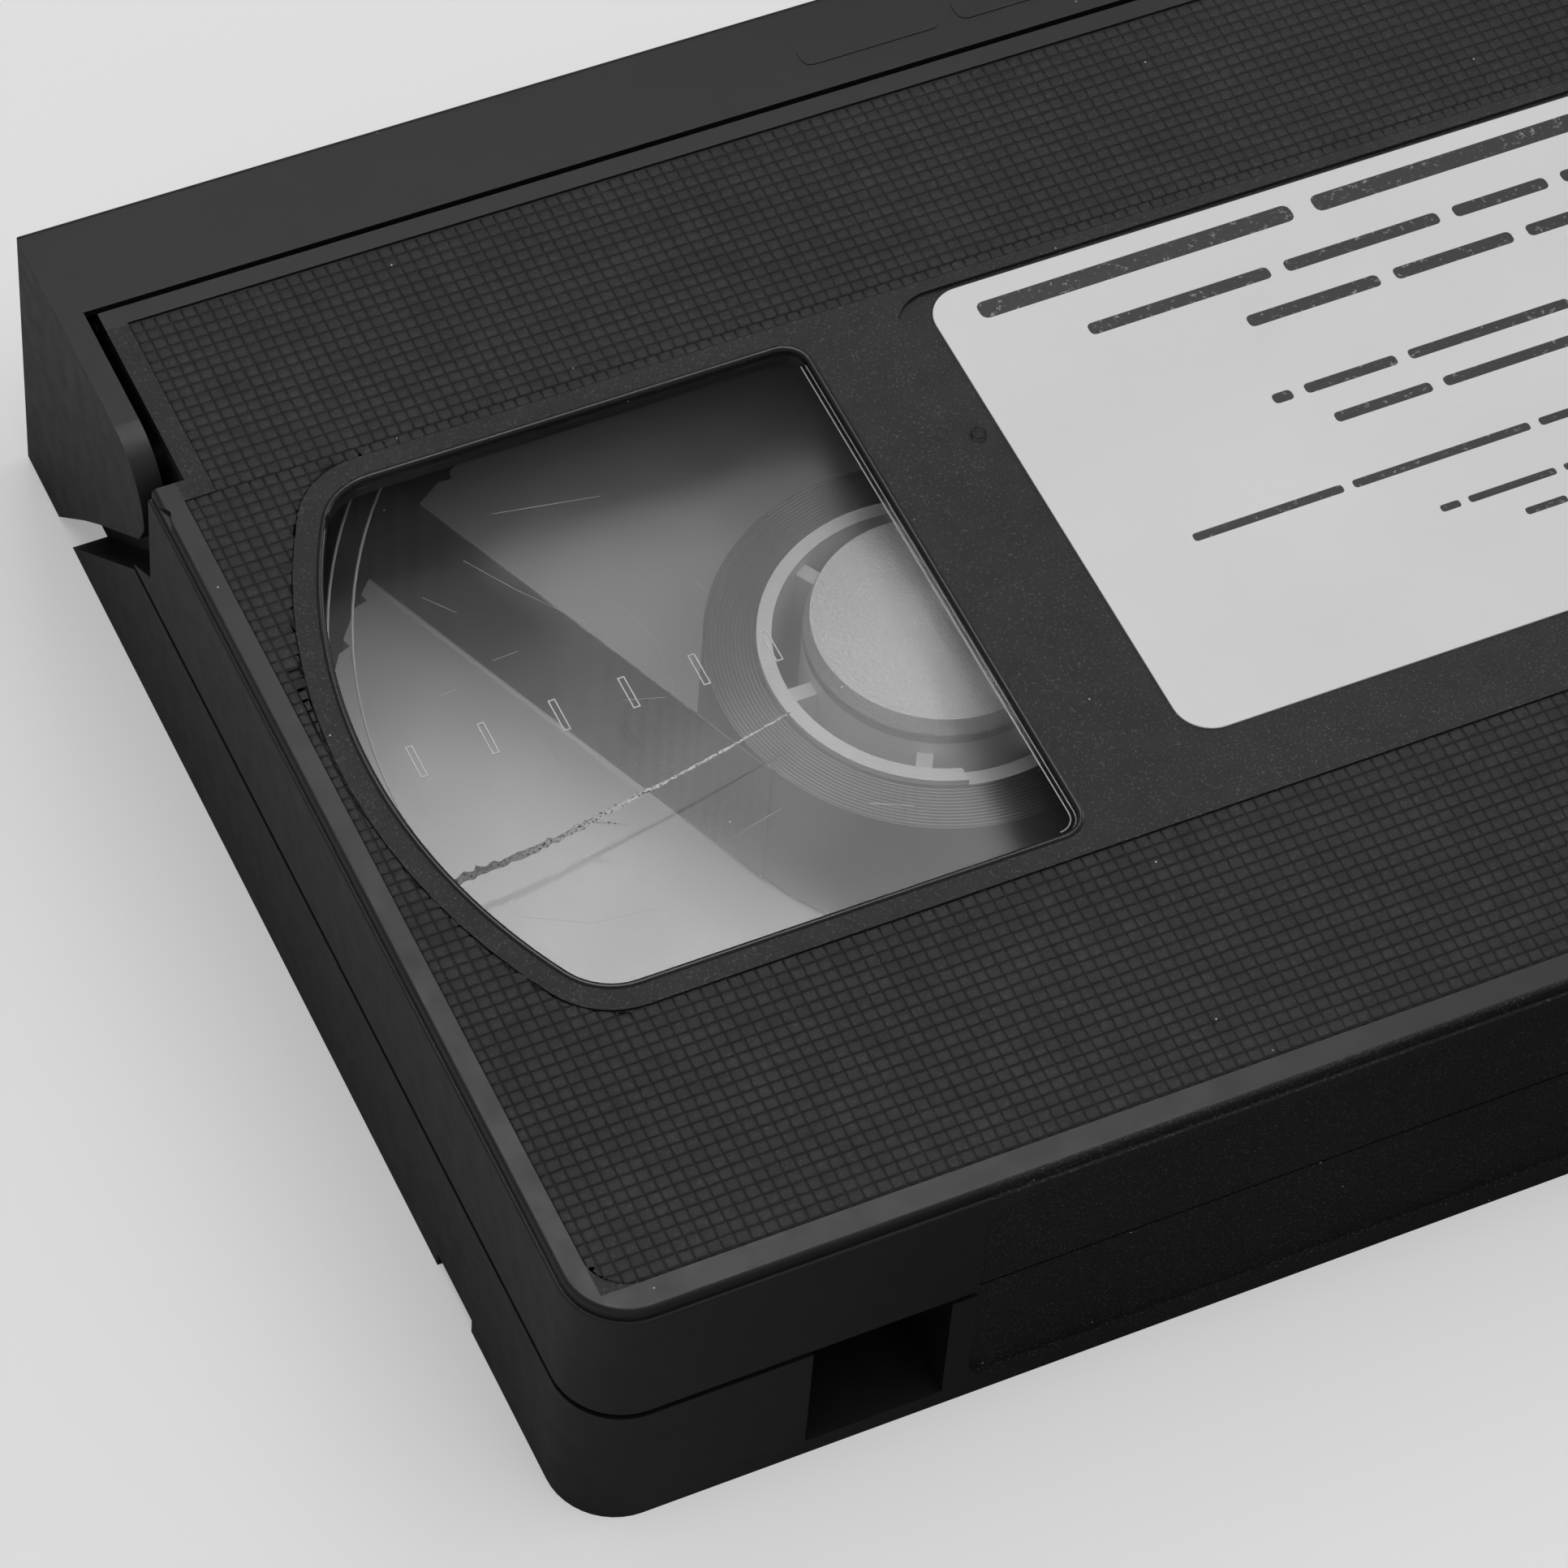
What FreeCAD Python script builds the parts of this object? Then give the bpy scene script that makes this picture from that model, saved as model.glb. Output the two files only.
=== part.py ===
import FreeCAD, Part
import math
import os
import re

import Sketcher

SIZES = [
    ("case_length", 188.0, "outer length along X"),
    ("case_depth", 104.0, "outer depth along Y"),
    ("case_height", 25.0, "outer height"),
    ("corner_round", 5.0, "upright rear corners in plan"),
    ("wall_thick", 2.0, "outer walls"),
    ("floor_thick", 1.6, "floor of the lower shell"),
    ("roof_thick", 1.8, "top panel of the upper shell"),
    ("panel_step", 1.0, "height of the raised top panel above the walls"),
    ("panel_inset", 0.3, "raised panel set in from the walls"),
    ("panel_edge", 0.4, "rounded upper edges of the raised panel"),
    ("wall_edge", 0.2, "rounded upper edges of the walls"),
    ("mark_front", 24.6, "front end of the moulding mark in the panel edge"),
    ("mark_long", 4.1, "length of the moulding mark"),
    ("mark_wide", 0.5, "reach of the moulding mark into the panel"),
    ("mark_deep", 0.4, "depth of the moulding mark"),
    ("seam_level", 12.4, "top of the lower shell's outer wall"),
    ("seam_reveal", 0.6, "shadow gap between the shells"),
    ("seam_fill", 0.35, "the gap is narrower by this on the spine"),
    ("reveal_depth", 0.8, "depth of the shadow gap"),
    ("side_recess", 2.8, "side walls set back behind the door arms"),
    ("recess_wall", 1.6, "thickness of the set-back side walls"),
    ("recess_rear", 25.5, "Y where the set-back side walls begin"),
    ("wedge_foot", 42.2, "Y where the notch below the arm meets the floor"),
    ("wedge_seam", 28.9, "Y of the notch at the seam"),
    ("wedge_top", 15.3, "Z where the notch turns upright"),
    ("front_wall", 1.2, "wall between panel and front ledge, and round the pocket"),
    ("ledge_thick", 1.4, "ledge below the flap"),
    ("grip_recess", 0.2, "depth of the grip fields"),
    ("grip_side", 2.1, "case side to grip field"),
    ("grip_side_front", 4.5, "case side to grip field beside the door arms"),
    ("grip_rear", 2.5, "case rear to grip field"),
    ("grip_front", 1.6, "panel front edge to grip field"),
    ("grip_jog", 23.7, "Y where the grip field narrows"),
    ("grip_round", 3.0, "rear corners of the grip field"),
    ("band_margin", 1.9, "smooth band round the windows"),
    ("band_round", 6.5, "corners of the smooth band"),
    ("window_rear", 27.3, "rear edge of the windows, behind the middle"),
    ("window_front", 20.9, "front edge of the windows"),
    ("window_inner", 45.0, "inner edge of the windows from the middle"),
    ("window_arc", 44.2, "outer edge of the windows round the reel"),
    ("window_round_inner", 2.0, "inner corners"),
    ("window_round_outer", 5.0, "outer corners"),
    ("window_sunk", 0.4, "window face below the panel"),
    ("window_flange", 0.8, "thickness of the window's rim under the panel"),
    ("window_rim", 1.2, "width of that rim"),
    ("window_clear", 0.1, "gap round the window in its opening"),
    ("label_half", 37.8, "label recess, middle to side"),
    ("label_rear", 26.7, "label recess, middle to rear edge"),
    ("label_front", 21.8, "label recess, middle to front edge"),
    ("label_round", 3.5, "corners of the label recess"),
    ("label_sunk", 0.3, "depth of the label recess"),
    ("paper_half", 34.9, "paper label, middle to side"),
    ("paper_rear", 22.75, "paper label, middle to rear edge"),
    ("paper_front", 21.4, "paper label, middle to front edge"),
    ("paper_thick", 0.12, "paper label"),
    ("paper_round", 2.8, "corners of the paper label"),
    ("spine_half", 64.6, "spine label recess, middle to end"),
    ("spine_low", 1.8, "spine label recess, lower edge"),
    ("spine_high", 22.6, "spine label recess, upper edge"),
    ("spine_sunk", 0.5, "depth of the spine label recess"),
    ("spine_round", 2.0, "corners of the spine label recess"),
    ("tab_inner", 66.5, "write-protect hole, inner side"),
    ("tab_width", 10.4, "write-protect hole, width"),
    ("tab_depth", 6.8, "write-protect hole, depth from the spine"),
    ("tab_wall", 1.2, "walls round the write-protect hole"),
    ("slot_rear", 34.0, "notch in the lower side edges, rear end"),
    ("slot_long", 6.0, "notch in the lower side edges, length"),
    ("slot_tall", 1.4, "notch in the lower side edges, height"),
    ("slot_deep", 1.2, "notch in the lower side edges, depth"),
    ("boss_radius", 3.0, "screw bosses"),
    ("bore_radius", 1.55, "screw clearance bore"),
    ("sink_radius", 2.4, "screw head counterbore"),
    ("sink_depth", 2.6, "screw head counterbore depth"),
    ("screw_radius", 1.3, "screw shank"),
    ("screw_head", 2.1, "screw head radius"),
    ("screw_head_tall", 1.5, "screw head height"),
    ("screw_end", 20.0, "Z of the screw tips"),
    ("screw_side", 7.0, "case side to rear screws"),
    ("screw_back", 5.8, "case rear to rear screws"),
    ("screw_side_front", 10.8, "case side to front screws"),
    ("screw_front_y", 26.5, "front screws"),
    ("screw_mid_y", 24.0, "middle screw"),
    ("door_thick", 1.6, "door plate"),
    ("door_clear", 0.6, "door plate to shell front"),
    ("door_lift", 0.5, "door's lower edge above the floor"),
    ("flap_depth", 9.0, "depth of the door's top flap"),
    ("flap_gap", 0.5, "gap between flap and panel"),
    ("flap_under", 0.4, "gap between flap and ledge"),
    ("flap_edge", 0.6, "thickness of the flap's rear edge"),
    ("flap_taper", 1.2, "length of the flap's tapered edge"),
    ("door_edge", 0.6, "rounded outer edges of the door"),
    ("arm_thick", 1.9, "door arms"),
    ("arm_foot", 45.0, "Y of the arm's lower rear corner"),
    ("arm_knee_y", 39.2, "arm's lower bend"),
    ("arm_knee_z", 6.5, "arm's lower bend"),
    ("arm_bend_y", 36.1, "arm's upper bend"),
    ("arm_bend_z", 9.5, "arm's upper bend"),
    ("arm_tip_y", 27.6, "arm's rear tip"),
    ("arm_tip_z", 17.3, "arm's rear tip"),
    ("pivot_y", 32.0, "door hinge"),
    ("arm_round", 5.5, "arm's round end about the hinge"),
    ("hinge_radius", 1.7, "door hinge pins"),
    ("hinge_clear", 0.06, "running clearance of small pins"),
    ("hinge_reach", 2.4, "length of the door hinge pins"),
    ("reel_x", 44.9, "reel centres from the middle"),
    ("reel_y", 3.4, "reel centres behind the middle"),
    ("flange_radius", 43.8, "reel flanges"),
    ("flange_thick", 1.0, "reel flanges"),
    ("flange_low", 3.7, "underside of the lower flange"),
    ("reel_room", 0.8, "gap between flanges and walls"),
    ("hub_radius", 13.0, "reel hub"),
    ("hub_wall", 1.1, "reel hub ring"),
    ("tape_wide", 12.65, "tape width"),
    ("tape_play", 0.55, "flange face to tape edge"),
    ("core_radius", 9.7, "inner cylinder of the hub"),
    ("well_radius", 8.5, "spindle well"),
    ("well_lip", 0.9, "Z of the inner cylinder's lower end"),
    ("web_thick", 1.2, "hub web and spokes"),
    ("spoke_count", 6, "spokes and drive teeth of a hub"),
    ("drive_tooth", 1.2, "drive teeth into the spindle well"),
    ("tooth_count", 60, "brake teeth round the lower flange"),
    ("tooth_deep", 0.6, "depth of the brake teeth"),
    ("skirt_radius", 14.5, "reel skirt in the floor hole"),
    ("skirt_wall", 1.2, "reel skirt"),
    ("hole_play", 0.8, "reel skirt to floor hole"),
    ("seat_ring", 17.0, "middle radius of the floor's reel seat"),
    ("seat_wide", 1.2, "reel seat"),
    ("seat_gap", 0.1, "reel seat to flange"),
    ("cap_base", 2.3, "wall of the hub cap below its dome"),
    ("cap_taper", 0.4, "hub cap narrows by this to its dome"),
    ("cap_top", 22.0, "Z of the top of the hub cap"),
    ("cap_wall", 1.0, "hub cap"),
    ("cap_fit", 0.1, "hub cap in the flange"),
    ("supply_pack", 16.8, "outer radius of the supply pack"),
    ("takeup_pack", 21.0, "outer radius of the take-up pack"),
    ("clip_half", 3.4, "half width of the tape clip"),
    ("clip_fit", 0.06, "clip in its hub slot"),
    ("film_thick", 0.1, "tape span"),
    ("film_level", 48.9, "Y of the tape span's inner face"),
    ("guide_x", 66.5, "guide pins"),
    ("guide_radius", 2.0, "guide pins"),
    ("roller_x", 80.5, "guide rollers"),
    ("roller_radius", 3.2, "guide rollers"),
    ("roller_rim", 0.8, "rims of the guide rollers"),
    ("roller_pin", 1.4, "roller pins"),
    ("roller_low", 2.6, "underside of the rollers"),
    ("roller_high", 20.9, "top of the rollers"),
    ("pocket_half", 62.0, "half width of the loading pocket"),
    ("pocket_rear", 30.0, "Y of the pocket's rear wall"),
    ("pocket_top", 21.3, "Z of the pocket wall's top"),
    ("lamp_radius", 3.6, "lamp well"),
    ("lamp_wall", 1.4, "lamp well"),
    ("lamp_y", 37.0, "lamp well"),
    ("lamp_tall", 17.0, "lamp well"),
    ("spring_thick", 0.25, "leaf spring"),
    ("spring_wide", 8.0, "leaf spring"),
    ("spring_flat", 8.0, "half length of its flat middle"),
    ("spring_gap", 0.1, "leaf spring to hub cap"),
    ("spring_tip", 0.7, "leaf spring ends this short of the reel centres"),
    ("lock_inset", 6.8, "case side to door lock lever"),
    ("lock_y", 31.2, "door lock pivot"),
    ("lock_thick", 1.4, "door lock lever"),
    ("lock_low", 1.9, "underside of the door lock lever"),
    ("lock_tall", 4.0, "height of the door lock lever"),
    ("lock_end", 47.5, "Y of the door lock's nose"),
    ("nose_long", 2.0, "length of the nose"),
    ("nose_play", 0.25, "nose to catch when released"),
    ("catch_thick", 0.4, "catch on the door arm"),
    ("button_y", 40.6, "lock button"),
    ("button_z", 3.0, "lock button"),
    ("button_radius", 0.8, "lock button"),
    ("button_sunk", 0.6, "lock button below the case side"),
    ("small_post", 1.0, "posts of levers and pawls"),
    ("small_eye", 2.1, "eyes of levers and pawls"),
    ("pawl_x", 12.0, "brake pawl pivots"),
    ("pawl_y", 45.5, "brake pawl pivots"),
    ("pawl_low", 3.5, "underside of the pawls"),
    ("pawl_thick", 1.6, "brake pawls"),
    ("pawl_reach_x", 22.6, "pawl tips"),
    ("pawl_reach_y", 42.1, "pawl tips"),
    ("tail_x", 1.5, "pawl tails"),
    ("tail_y", 42.2, "pawl tails"),
    ("tail_wide", 2.0, "pawl tails"),
    ("post_top", 7.2, "Z of the pawl posts' tops"),
    ("coil_radius", 1.5, "brake spring coils"),
    ("wire_radius", 0.2, "spring wire"),
    ("coil_turns", 3, "turns of each spring"),
    ("release_y", 47.0, "release lever axis"),
    ("release_z", 8.2, "release lever axis"),
    ("release_half", 4.0, "half width of the release lever"),
    ("release_front", 27.5, "front end of the release lever"),
    ("release_thick", 1.6, "release lever plate"),
    ("finger_half", 2.8, "half width of the lever's finger"),
    ("finger_rear", 45.2, "rear face of the finger"),
    ("finger_thick", 1.4, "finger"),
    ("ear_thick", 1.4, "bearing ears of the release lever"),
    ("ear_gap", 0.3, "release lever to ear"),
    ("release_hole", 3.3, "hole for the release pin"),
    ("release_hole_y", 31.0, "hole for the release pin"),
    ("door_coil", 2.6, "door spring coil radius"),
]
ALIASES = {alias for alias, number, meaning in SIZES}
WORD = re.compile(r"[a-z][a-z_]*[a-z]")

LENGTHWAYS = FreeCAD.Rotation(FreeCAD.Vector(0, 1, 0), 90)
PLANES = {
    "xy": FreeCAD.Rotation(),
    "yz": FreeCAD.Rotation(FreeCAD.Vector(1, 1, 1), 120),
    "xz": FreeCAD.Rotation(FreeCAD.Vector(1, 0, 0), 90),
}
FAR = 400.0

document = FreeCAD.newDocument("VideoCassette")
sheet = document.addObject("Spreadsheet::Sheet", "Sizes")
for row, (alias, number, meaning) in enumerate(SIZES, start=1):
    sheet.set("A%d" % row, meaning)
    sheet.set("B%d" % row, str(number))
    sheet.setAlias("B%d" % row, alias)
document.recompute()


def size(alias):
    """Return one size from the sheet as a plain number."""
    return float(sheet.get(alias))


def formula(text):
    """Point each size name in a formula at its cell in the sheet."""
    return WORD.sub(lambda word: "Sizes." + word[0] if word[0] in ALIASES else word[0], str(text))


def bind(item, **formulas):
    """Bind properties of an object to formulas of sizes."""
    for name, text in formulas.items():
        item.setExpression(name, formula(text))
    return item


def place(item, x="0", y="0", z="0", turn=None):
    """Put an object at bound coordinates, turned by a fixed rotation."""
    if turn is not None:
        item.Placement = FreeCAD.Placement(FreeCAD.Vector(), turn)
    item.setExpression("Placement.Base.x", formula(x))
    item.setExpression("Placement.Base.y", formula(y))
    item.setExpression("Placement.Base.z", formula(z))
    return item


def box(name, x, y, z):
    """Make a box from three (low, high) pairs of formulas."""
    item = document.addObject("Part::Box", name)
    bind(item, Length="(%s) - (%s)" % (x[1], x[0]))
    bind(item, Width="(%s) - (%s)" % (y[1], y[0]))
    bind(item, Height="(%s) - (%s)" % (z[1], z[0]))
    return place(item, x[0], y[0], z[0])


def cylinder(name, radius, z, x="0", y="0"):
    """Make an upright cylinder between two levels."""
    item = document.addObject("Part::Cylinder", name)
    bind(item, Radius=radius, Height="(%s) - (%s)" % (z[1], z[0]))
    return place(item, x, y, z[0])


def rod(name, radius, x, y, z):
    """Make a cylinder along X between two X values."""
    item = document.addObject("Part::Cylinder", name)
    bind(item, Radius=radius, Height="(%s) - (%s)" % (x[1], x[0]))
    return place(item, x[0], y, z, LENGTHWAYS)


def polygon(item, corners):
    """Draw a closed polygon in a sketch, each corner bound to a pair of formulas."""
    count = len(corners)
    for index in range(count):
        after = (index + 1) % count
        start = FreeCAD.Vector(index, index * index, 0)
        end = FreeCAD.Vector(after, after * after, 0)
        item.addGeometry(Part.LineSegment(start, end), False)
    for index in range(count):
        item.addConstraint(Sketcher.Constraint("Coincident", index, 2, (index + 1) % count, 1))
    for index, (across, up) in enumerate(corners):
        for kind, text in (("DistanceX", across), ("DistanceY", up)):
            row = item.addConstraint(Sketcher.Constraint(kind, -1, 1, index, 1, 1.0))
            item.setExpression("Constraints[%d]" % row, formula(text))
    return item


def sketch(name, plane, corners):
    """Draw a closed polygon on a world plane."""
    item = document.addObject("Sketcher::SketchObject", name)
    item.Placement = FreeCAD.Placement(FreeCAD.Vector(), PLANES[plane])
    return polygon(item, corners)


def prism(name, plane, corners, low, high):
    """Extrude a bound polygon between two positions along its plane's normal."""
    outline = sketch(name + "_outline", plane, corners)
    axis = {"xy": "z", "yz": "x"}[plane]
    outline.setExpression("Placement.Base." + axis, formula(low))
    item = document.addObject("Part::Extrusion", name)
    item.Base = outline
    item.DirMode = "Normal"
    item.Solid = True
    return bind(item, LengthFwd="(%s) - (%s)" % (high, low))


def turned(name, corners, x="0", y="0"):
    """Turn a bound (radius, level) polygon about an upright axis."""
    item = document.addObject("Part::Revolution", name)
    item.Source = sketch(name + "_outline", "xz", corners)
    item.Axis = FreeCAD.Vector(0, 0, 1)
    item.Base = FreeCAD.Vector()
    item.Angle = 360
    item.Solid = True
    return place(item, x, y)


def fuse(name, *items):
    """Join objects into one solid."""
    item = document.addObject("Part::MultiFuse", name)
    item.Shapes = list(items)
    item.Refine = True
    return item


def common(name, *items):
    """Keep what all the objects share."""
    item = document.addObject("Part::MultiCommon", name)
    item.Shapes = list(items)
    return item


def cut(name, base, *tools):
    """Cut tools from a base."""
    item = document.addObject("Part::Cut", name)
    item.Base = base
    item.Tool = tools[0] if len(tools) == 1 else fuse(name + "_tools", *tools)
    item.Refine = True
    return item


def rounded(name, base, chosen):
    """Round edges: chosen returns an edge's radius, or 0 to leave it."""
    document.recompute()
    edges = []
    for number, edge in enumerate(base.Shape.Edges, start=1):
        radius = chosen(edge)
        if radius > 0:
            edges.append((number, radius, radius))
    item = document.addObject("Part::Fillet", name)
    item.Base = base
    item.Edges = edges
    return item


def along(edge, axis):
    """Tell whether a straight edge runs along an axis: 0, 1 or 2."""
    if not isinstance(edge.Curve, Part.Line):
        return False
    return abs(abs(edge.Curve.Direction[axis]) - 1) < 1e-6


def mirrored(name, source):
    """Mirror an object across the middle plane, X to -X."""
    item = document.addObject("Part::Mirroring", name)
    item.Source = source
    item.Base = FreeCAD.Vector()
    item.Normal = FreeCAD.Vector(1, 0, 0)
    return item


def both_sides(name, source):
    """Join an object with its mirror image."""
    return fuse(name, source, mirrored(name + "_mirror", source))


def ring(name, outer, inner, z, x="0", y="0"):
    """Make an upright tube."""
    return cut(name, cylinder(name + "_outer", outer, z, x, y),
               cylinder(name + "_inner", inner, ("(%s) - 1" % z[0], "(%s) + 1" % z[1]), x, y))


def sub_part(label, item):
    """Give a finished sub-part its label."""
    item.Label = label
    return item


CASE_SIDE = "case_length / 2"
CASE_END = "case_depth / 2"
RECESS = "(case_length / 2 - side_recess)"
INNER = "(case_length / 2 - wall_thick)"
RECESS_INNER = "(case_length / 2 - side_recess - recess_wall)"
RECESS_BACK = "(recess_rear - wall_thick)"
WALL_TOP = "(case_height - panel_step)"
ROOF = "(case_height - roof_thick)"
JOIN = "(seam_level + seam_reveal)"
PANEL_FRONT = "(case_depth / 2 - flap_depth - flap_gap)"
SHELL_FRONT = "(case_depth / 2 - door_thick - door_clear)"
LEDGE_TOP = "(case_height - door_thick - flap_under)"
LEDGE_UNDER = "(case_height - door_thick - flap_under - ledge_thick)"
PIVOT_Z = "(case_height - arm_round)"
REEL_BACK = "-reel_y"
LOCK_X = "(case_length / 2 - lock_inset)"
TAPE_LOW = "(flange_low + flange_thick + tape_play)"
TAPE_TOP = "(flange_low + flange_thick + tape_play + tape_wide)"
FLANGE_TOP_LOW = "(flange_low + flange_thick + 2 * tape_play + tape_wide)"
SCREWS = (
    ("-case_length / 2 + screw_side", "-case_depth / 2 + screw_back"),
    ("case_length / 2 - screw_side", "-case_depth / 2 + screw_back"),
    ("-case_length / 2 + screw_side_front", "screw_front_y"),
    ("case_length / 2 - screw_side_front", "screw_front_y"),
    ("0", "screw_mid_y"),
)


def mirror_pair(half):
    """Return the (low, high) pair that spans the middle by a half width."""
    return ("-(%s)" % half, half)


def rear_corners(name, base, radius):
    """Round the upright edges at the rear of a box."""
    def chosen(edge):
        return radius if along(edge, 2) and edge.CenterOfMass.y < 0 else 0
    return rounded(name, base, chosen)


def upper_rim(name, base, radius):
    """Round the upper edges of a block at its sides and rear."""
    document.recompute()
    limits = base.Shape.BoundBox

    def chosen(edge):
        middle = edge.CenterOfMass
        at_top = middle.z > limits.ZMax - 0.01
        at_front = middle.y > limits.YMax - 0.01
        return radius if at_top and not at_front else 0
    return rounded(name, base, chosen)


def case_block(name, inset, z):
    """Make a block with the case's plan, round at the rear, set in all round."""
    block = box(name + "_block", mirror_pair("%s - (%s)" % (CASE_SIDE, inset)),
                ("-(%s) + (%s)" % (CASE_END, inset), PANEL_FRONT), z)
    document.recompute()
    corner = max(size("corner_round") - (size("case_length") - block.Length.Value) / 2, 0.5)
    return rear_corners(name, block, corner)


def arm_notch(name, low_y, low_z, high_y, high_z):
    """Make the space beside the set-back side walls, above a sloping edge."""
    corners = [
        ("%s" % low_y, "%s" % low_z),
        ("%s" % high_y, "%s" % high_z),
        ("%s" % high_y, "%g" % FAR),
        ("%g" % FAR, "%g" % FAR),
        ("%g" % FAR, "-%g" % FAR),
        ("%s" % low_y, "-%g" % FAR),
    ]
    side = prism(name + "_side", "yz", corners, RECESS, "case_length")
    return both_sides(name, side)


def window_shape(name, grow, corner_grow, z):
    """Make a block with a left window's plan: straight inside, round the reel outside."""
    frame = box(name + "_frame", ("-case_length", "-window_inner + (%s)" % grow),
                ("-window_rear - (%s)" % grow, "window_front + (%s)" % grow), z)
    disc = cylinder(name + "_disc", "window_arc + (%s)" % grow, z, "-reel_x", REEL_BACK)
    block = common(name + "_common", frame, disc)
    inner = size("window_round_inner") + corner_grow
    outer = size("window_round_outer") + corner_grow

    def chosen(edge):
        if not along(edge, 2):
            return 0
        return inner if edge.CenterOfMass.x > -size("reel_x") - 5 else outer
    return rounded(name, block, chosen)


def grip_fields():
    """Make the shallow sunk fields of the top panel, outside the smooth band."""
    top = ("case_height - grip_recess", "case_height + 1")
    rear = box("GripRear", mirror_pair("%s - grip_side" % CASE_SIDE),
               ("-(%s) + grip_rear" % CASE_END, "grip_jog"), top)
    rear = rear_corners("GripRearRound", rear, size("grip_round"))
    front = box("GripFront", mirror_pair("%s - grip_side_front" % CASE_SIDE),
                ("grip_jog", "%s - grip_front" % PANEL_FRONT), top)
    tall = ("case_height - 2", "case_height + 2")
    strip = box("BandStrip", mirror_pair(CASE_SIDE),
                ("-window_rear - band_margin", "window_front + band_margin"), tall)
    left = cylinder("BandLeft", "window_arc + band_margin", tall, "-reel_x", REEL_BACK)
    right = cylinder("BandRight", "window_arc + band_margin", tall, "reel_x", REEL_BACK)
    middle = box("BandMiddle", mirror_pair("reel_x"), ("-case_depth", "case_depth"), tall)
    band = common("BandSharp", strip, fuse("BandRound", left, right, middle))
    radius = size("band_round")

    def chosen(edge):
        return radius if along(edge, 2) and abs(edge.CenterOfMass.x) > size("reel_x") else 0
    return cut("GripFields", fuse("GripSheets", rear, front), rounded("Band", band, chosen))


def spine_recess(name):
    """Make the sunk field for a label on the spine."""
    block = box(name + "_block", mirror_pair("spine_half"),
                ("-(%s) - 2" % CASE_END, "-(%s) + spine_sunk" % CASE_END), ("spine_low", "spine_high"))
    radius = size("spine_round")
    return rounded(name, block, lambda edge: radius if along(edge, 1) else 0)


def moulding_marks():
    """Make the two three-cornered nicks in the side edges of the raised panel."""
    corners = [
        ("%s + 1" % CASE_SIDE, "mark_front"),
        (CASE_SIDE, "mark_front"),
        ("%s - panel_inset - mark_wide" % CASE_SIDE, "mark_front - mark_long * 0.37"),
        (CASE_SIDE, "mark_front - mark_long"),
        ("%s + 1" % CASE_SIDE, "mark_front - mark_long"),
    ]
    nick = prism("MouldingNick", "xy", corners, "case_height - mark_deep", "case_height + 1")
    return both_sides("MouldingMarks", nick)


def label_block(name, half, rear, front, z, corner):
    """Make a flat block with round corners for the top label or its recess."""
    block = box(name + "_block", mirror_pair(half), ("-(%s)" % rear, front), z)
    radius = size(corner)
    return rounded(name, block, lambda edge: radius if along(edge, 2) else 0)


def screw_columns(name, radius, z):
    """Make one column at each of the five screws."""
    columns = []
    for number, (x, y) in enumerate(SCREWS, start=1):
        columns.append(cylinder("%s%d" % (name, number), radius, z, x, y))
    return fuse(name, *columns)


def upper_shell():
    """Model the upper shell: raised panel, windows' openings, front ledge and hinge holes."""
    skirt = upper_rim("UpperWalls", case_block("UpperSkirt", "0", (JOIN, WALL_TOP)), size("wall_edge"))
    panel_block = box("PanelBlock", mirror_pair("%s - panel_inset" % CASE_SIDE),
                      ("-(%s) + panel_inset" % CASE_END, PANEL_FRONT), (WALL_TOP, "case_height"))
    panel = rear_corners("PanelPlan", panel_block, size("corner_round") - size("panel_inset"))
    panel = upper_rim("Panel", panel, size("panel_edge"))
    ledge = box("Ledge", mirror_pair(RECESS), (RECESS_BACK, SHELL_FRONT), (JOIN, LEDGE_TOP))
    body = fuse("UpperBody", skirt, panel, ledge)
    room = box("UpperRoom", mirror_pair(INNER), ("-(%s) + wall_thick" % CASE_END, RECESS_BACK),
               ("0", ROOF))
    corner = size("corner_round") - size("wall_thick")
    room = rear_corners("UpperRoomRound", room, corner)
    front_room = box("UpperFrontRoom", mirror_pair(RECESS_INNER),
                     ("%s - 1" % RECESS_BACK, "%s - front_wall" % PANEL_FRONT), ("0", ROOF))
    ledge_room = box("LedgeRoom", mirror_pair(RECESS_INNER),
                     ("%s - front_wall - 1" % PANEL_FRONT, "case_depth"), ("0", LEDGE_UNDER))
    notch = arm_notch("UpperNotch", "wedge_seam", JOIN, "recess_rear", "wedge_top")
    notch_back = box("UpperNotchBack", (RECESS, "case_length"), ("wedge_seam", "case_depth"),
                     ("0", "case_height + 1"))
    hollow = cut("UpperHollow", body, room, front_room, ledge_room, notch,
                 both_sides("UpperNotchBacks", notch_back))
    bosses = screw_columns("UpperBoss", "boss_radius", (JOIN, "%s + 0.5" % ROOF))
    solid = fuse("UpperSolid", hollow, bosses)
    opening = both_sides("WindowOpenings",
                         window_shape("WindowOpening", "0", 0, (ROOF + " - 1", "case_height + 1")))
    label = label_block("LabelRecess", "label_half", "label_rear", "label_front",
                        ("case_height - label_sunk", "case_height + 1"), "label_round")
    pilots = screw_columns("Pilot", "screw_radius", ("0", "screw_end"))
    hinge = both_sides("HingeHoles", rod("HingeHole", "hinge_radius + hinge_clear",
                                         ("%s - 1" % RECESS_INNER, CASE_SIDE), "pivot_y", PIVOT_Z))
    return sub_part("upper_shell", cut("UpperShell", solid, opening, label, grip_fields(),
                                       spine_recess("SpineRecessHigh"), moulding_marks(),
                                       pilots, hinge))


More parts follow.
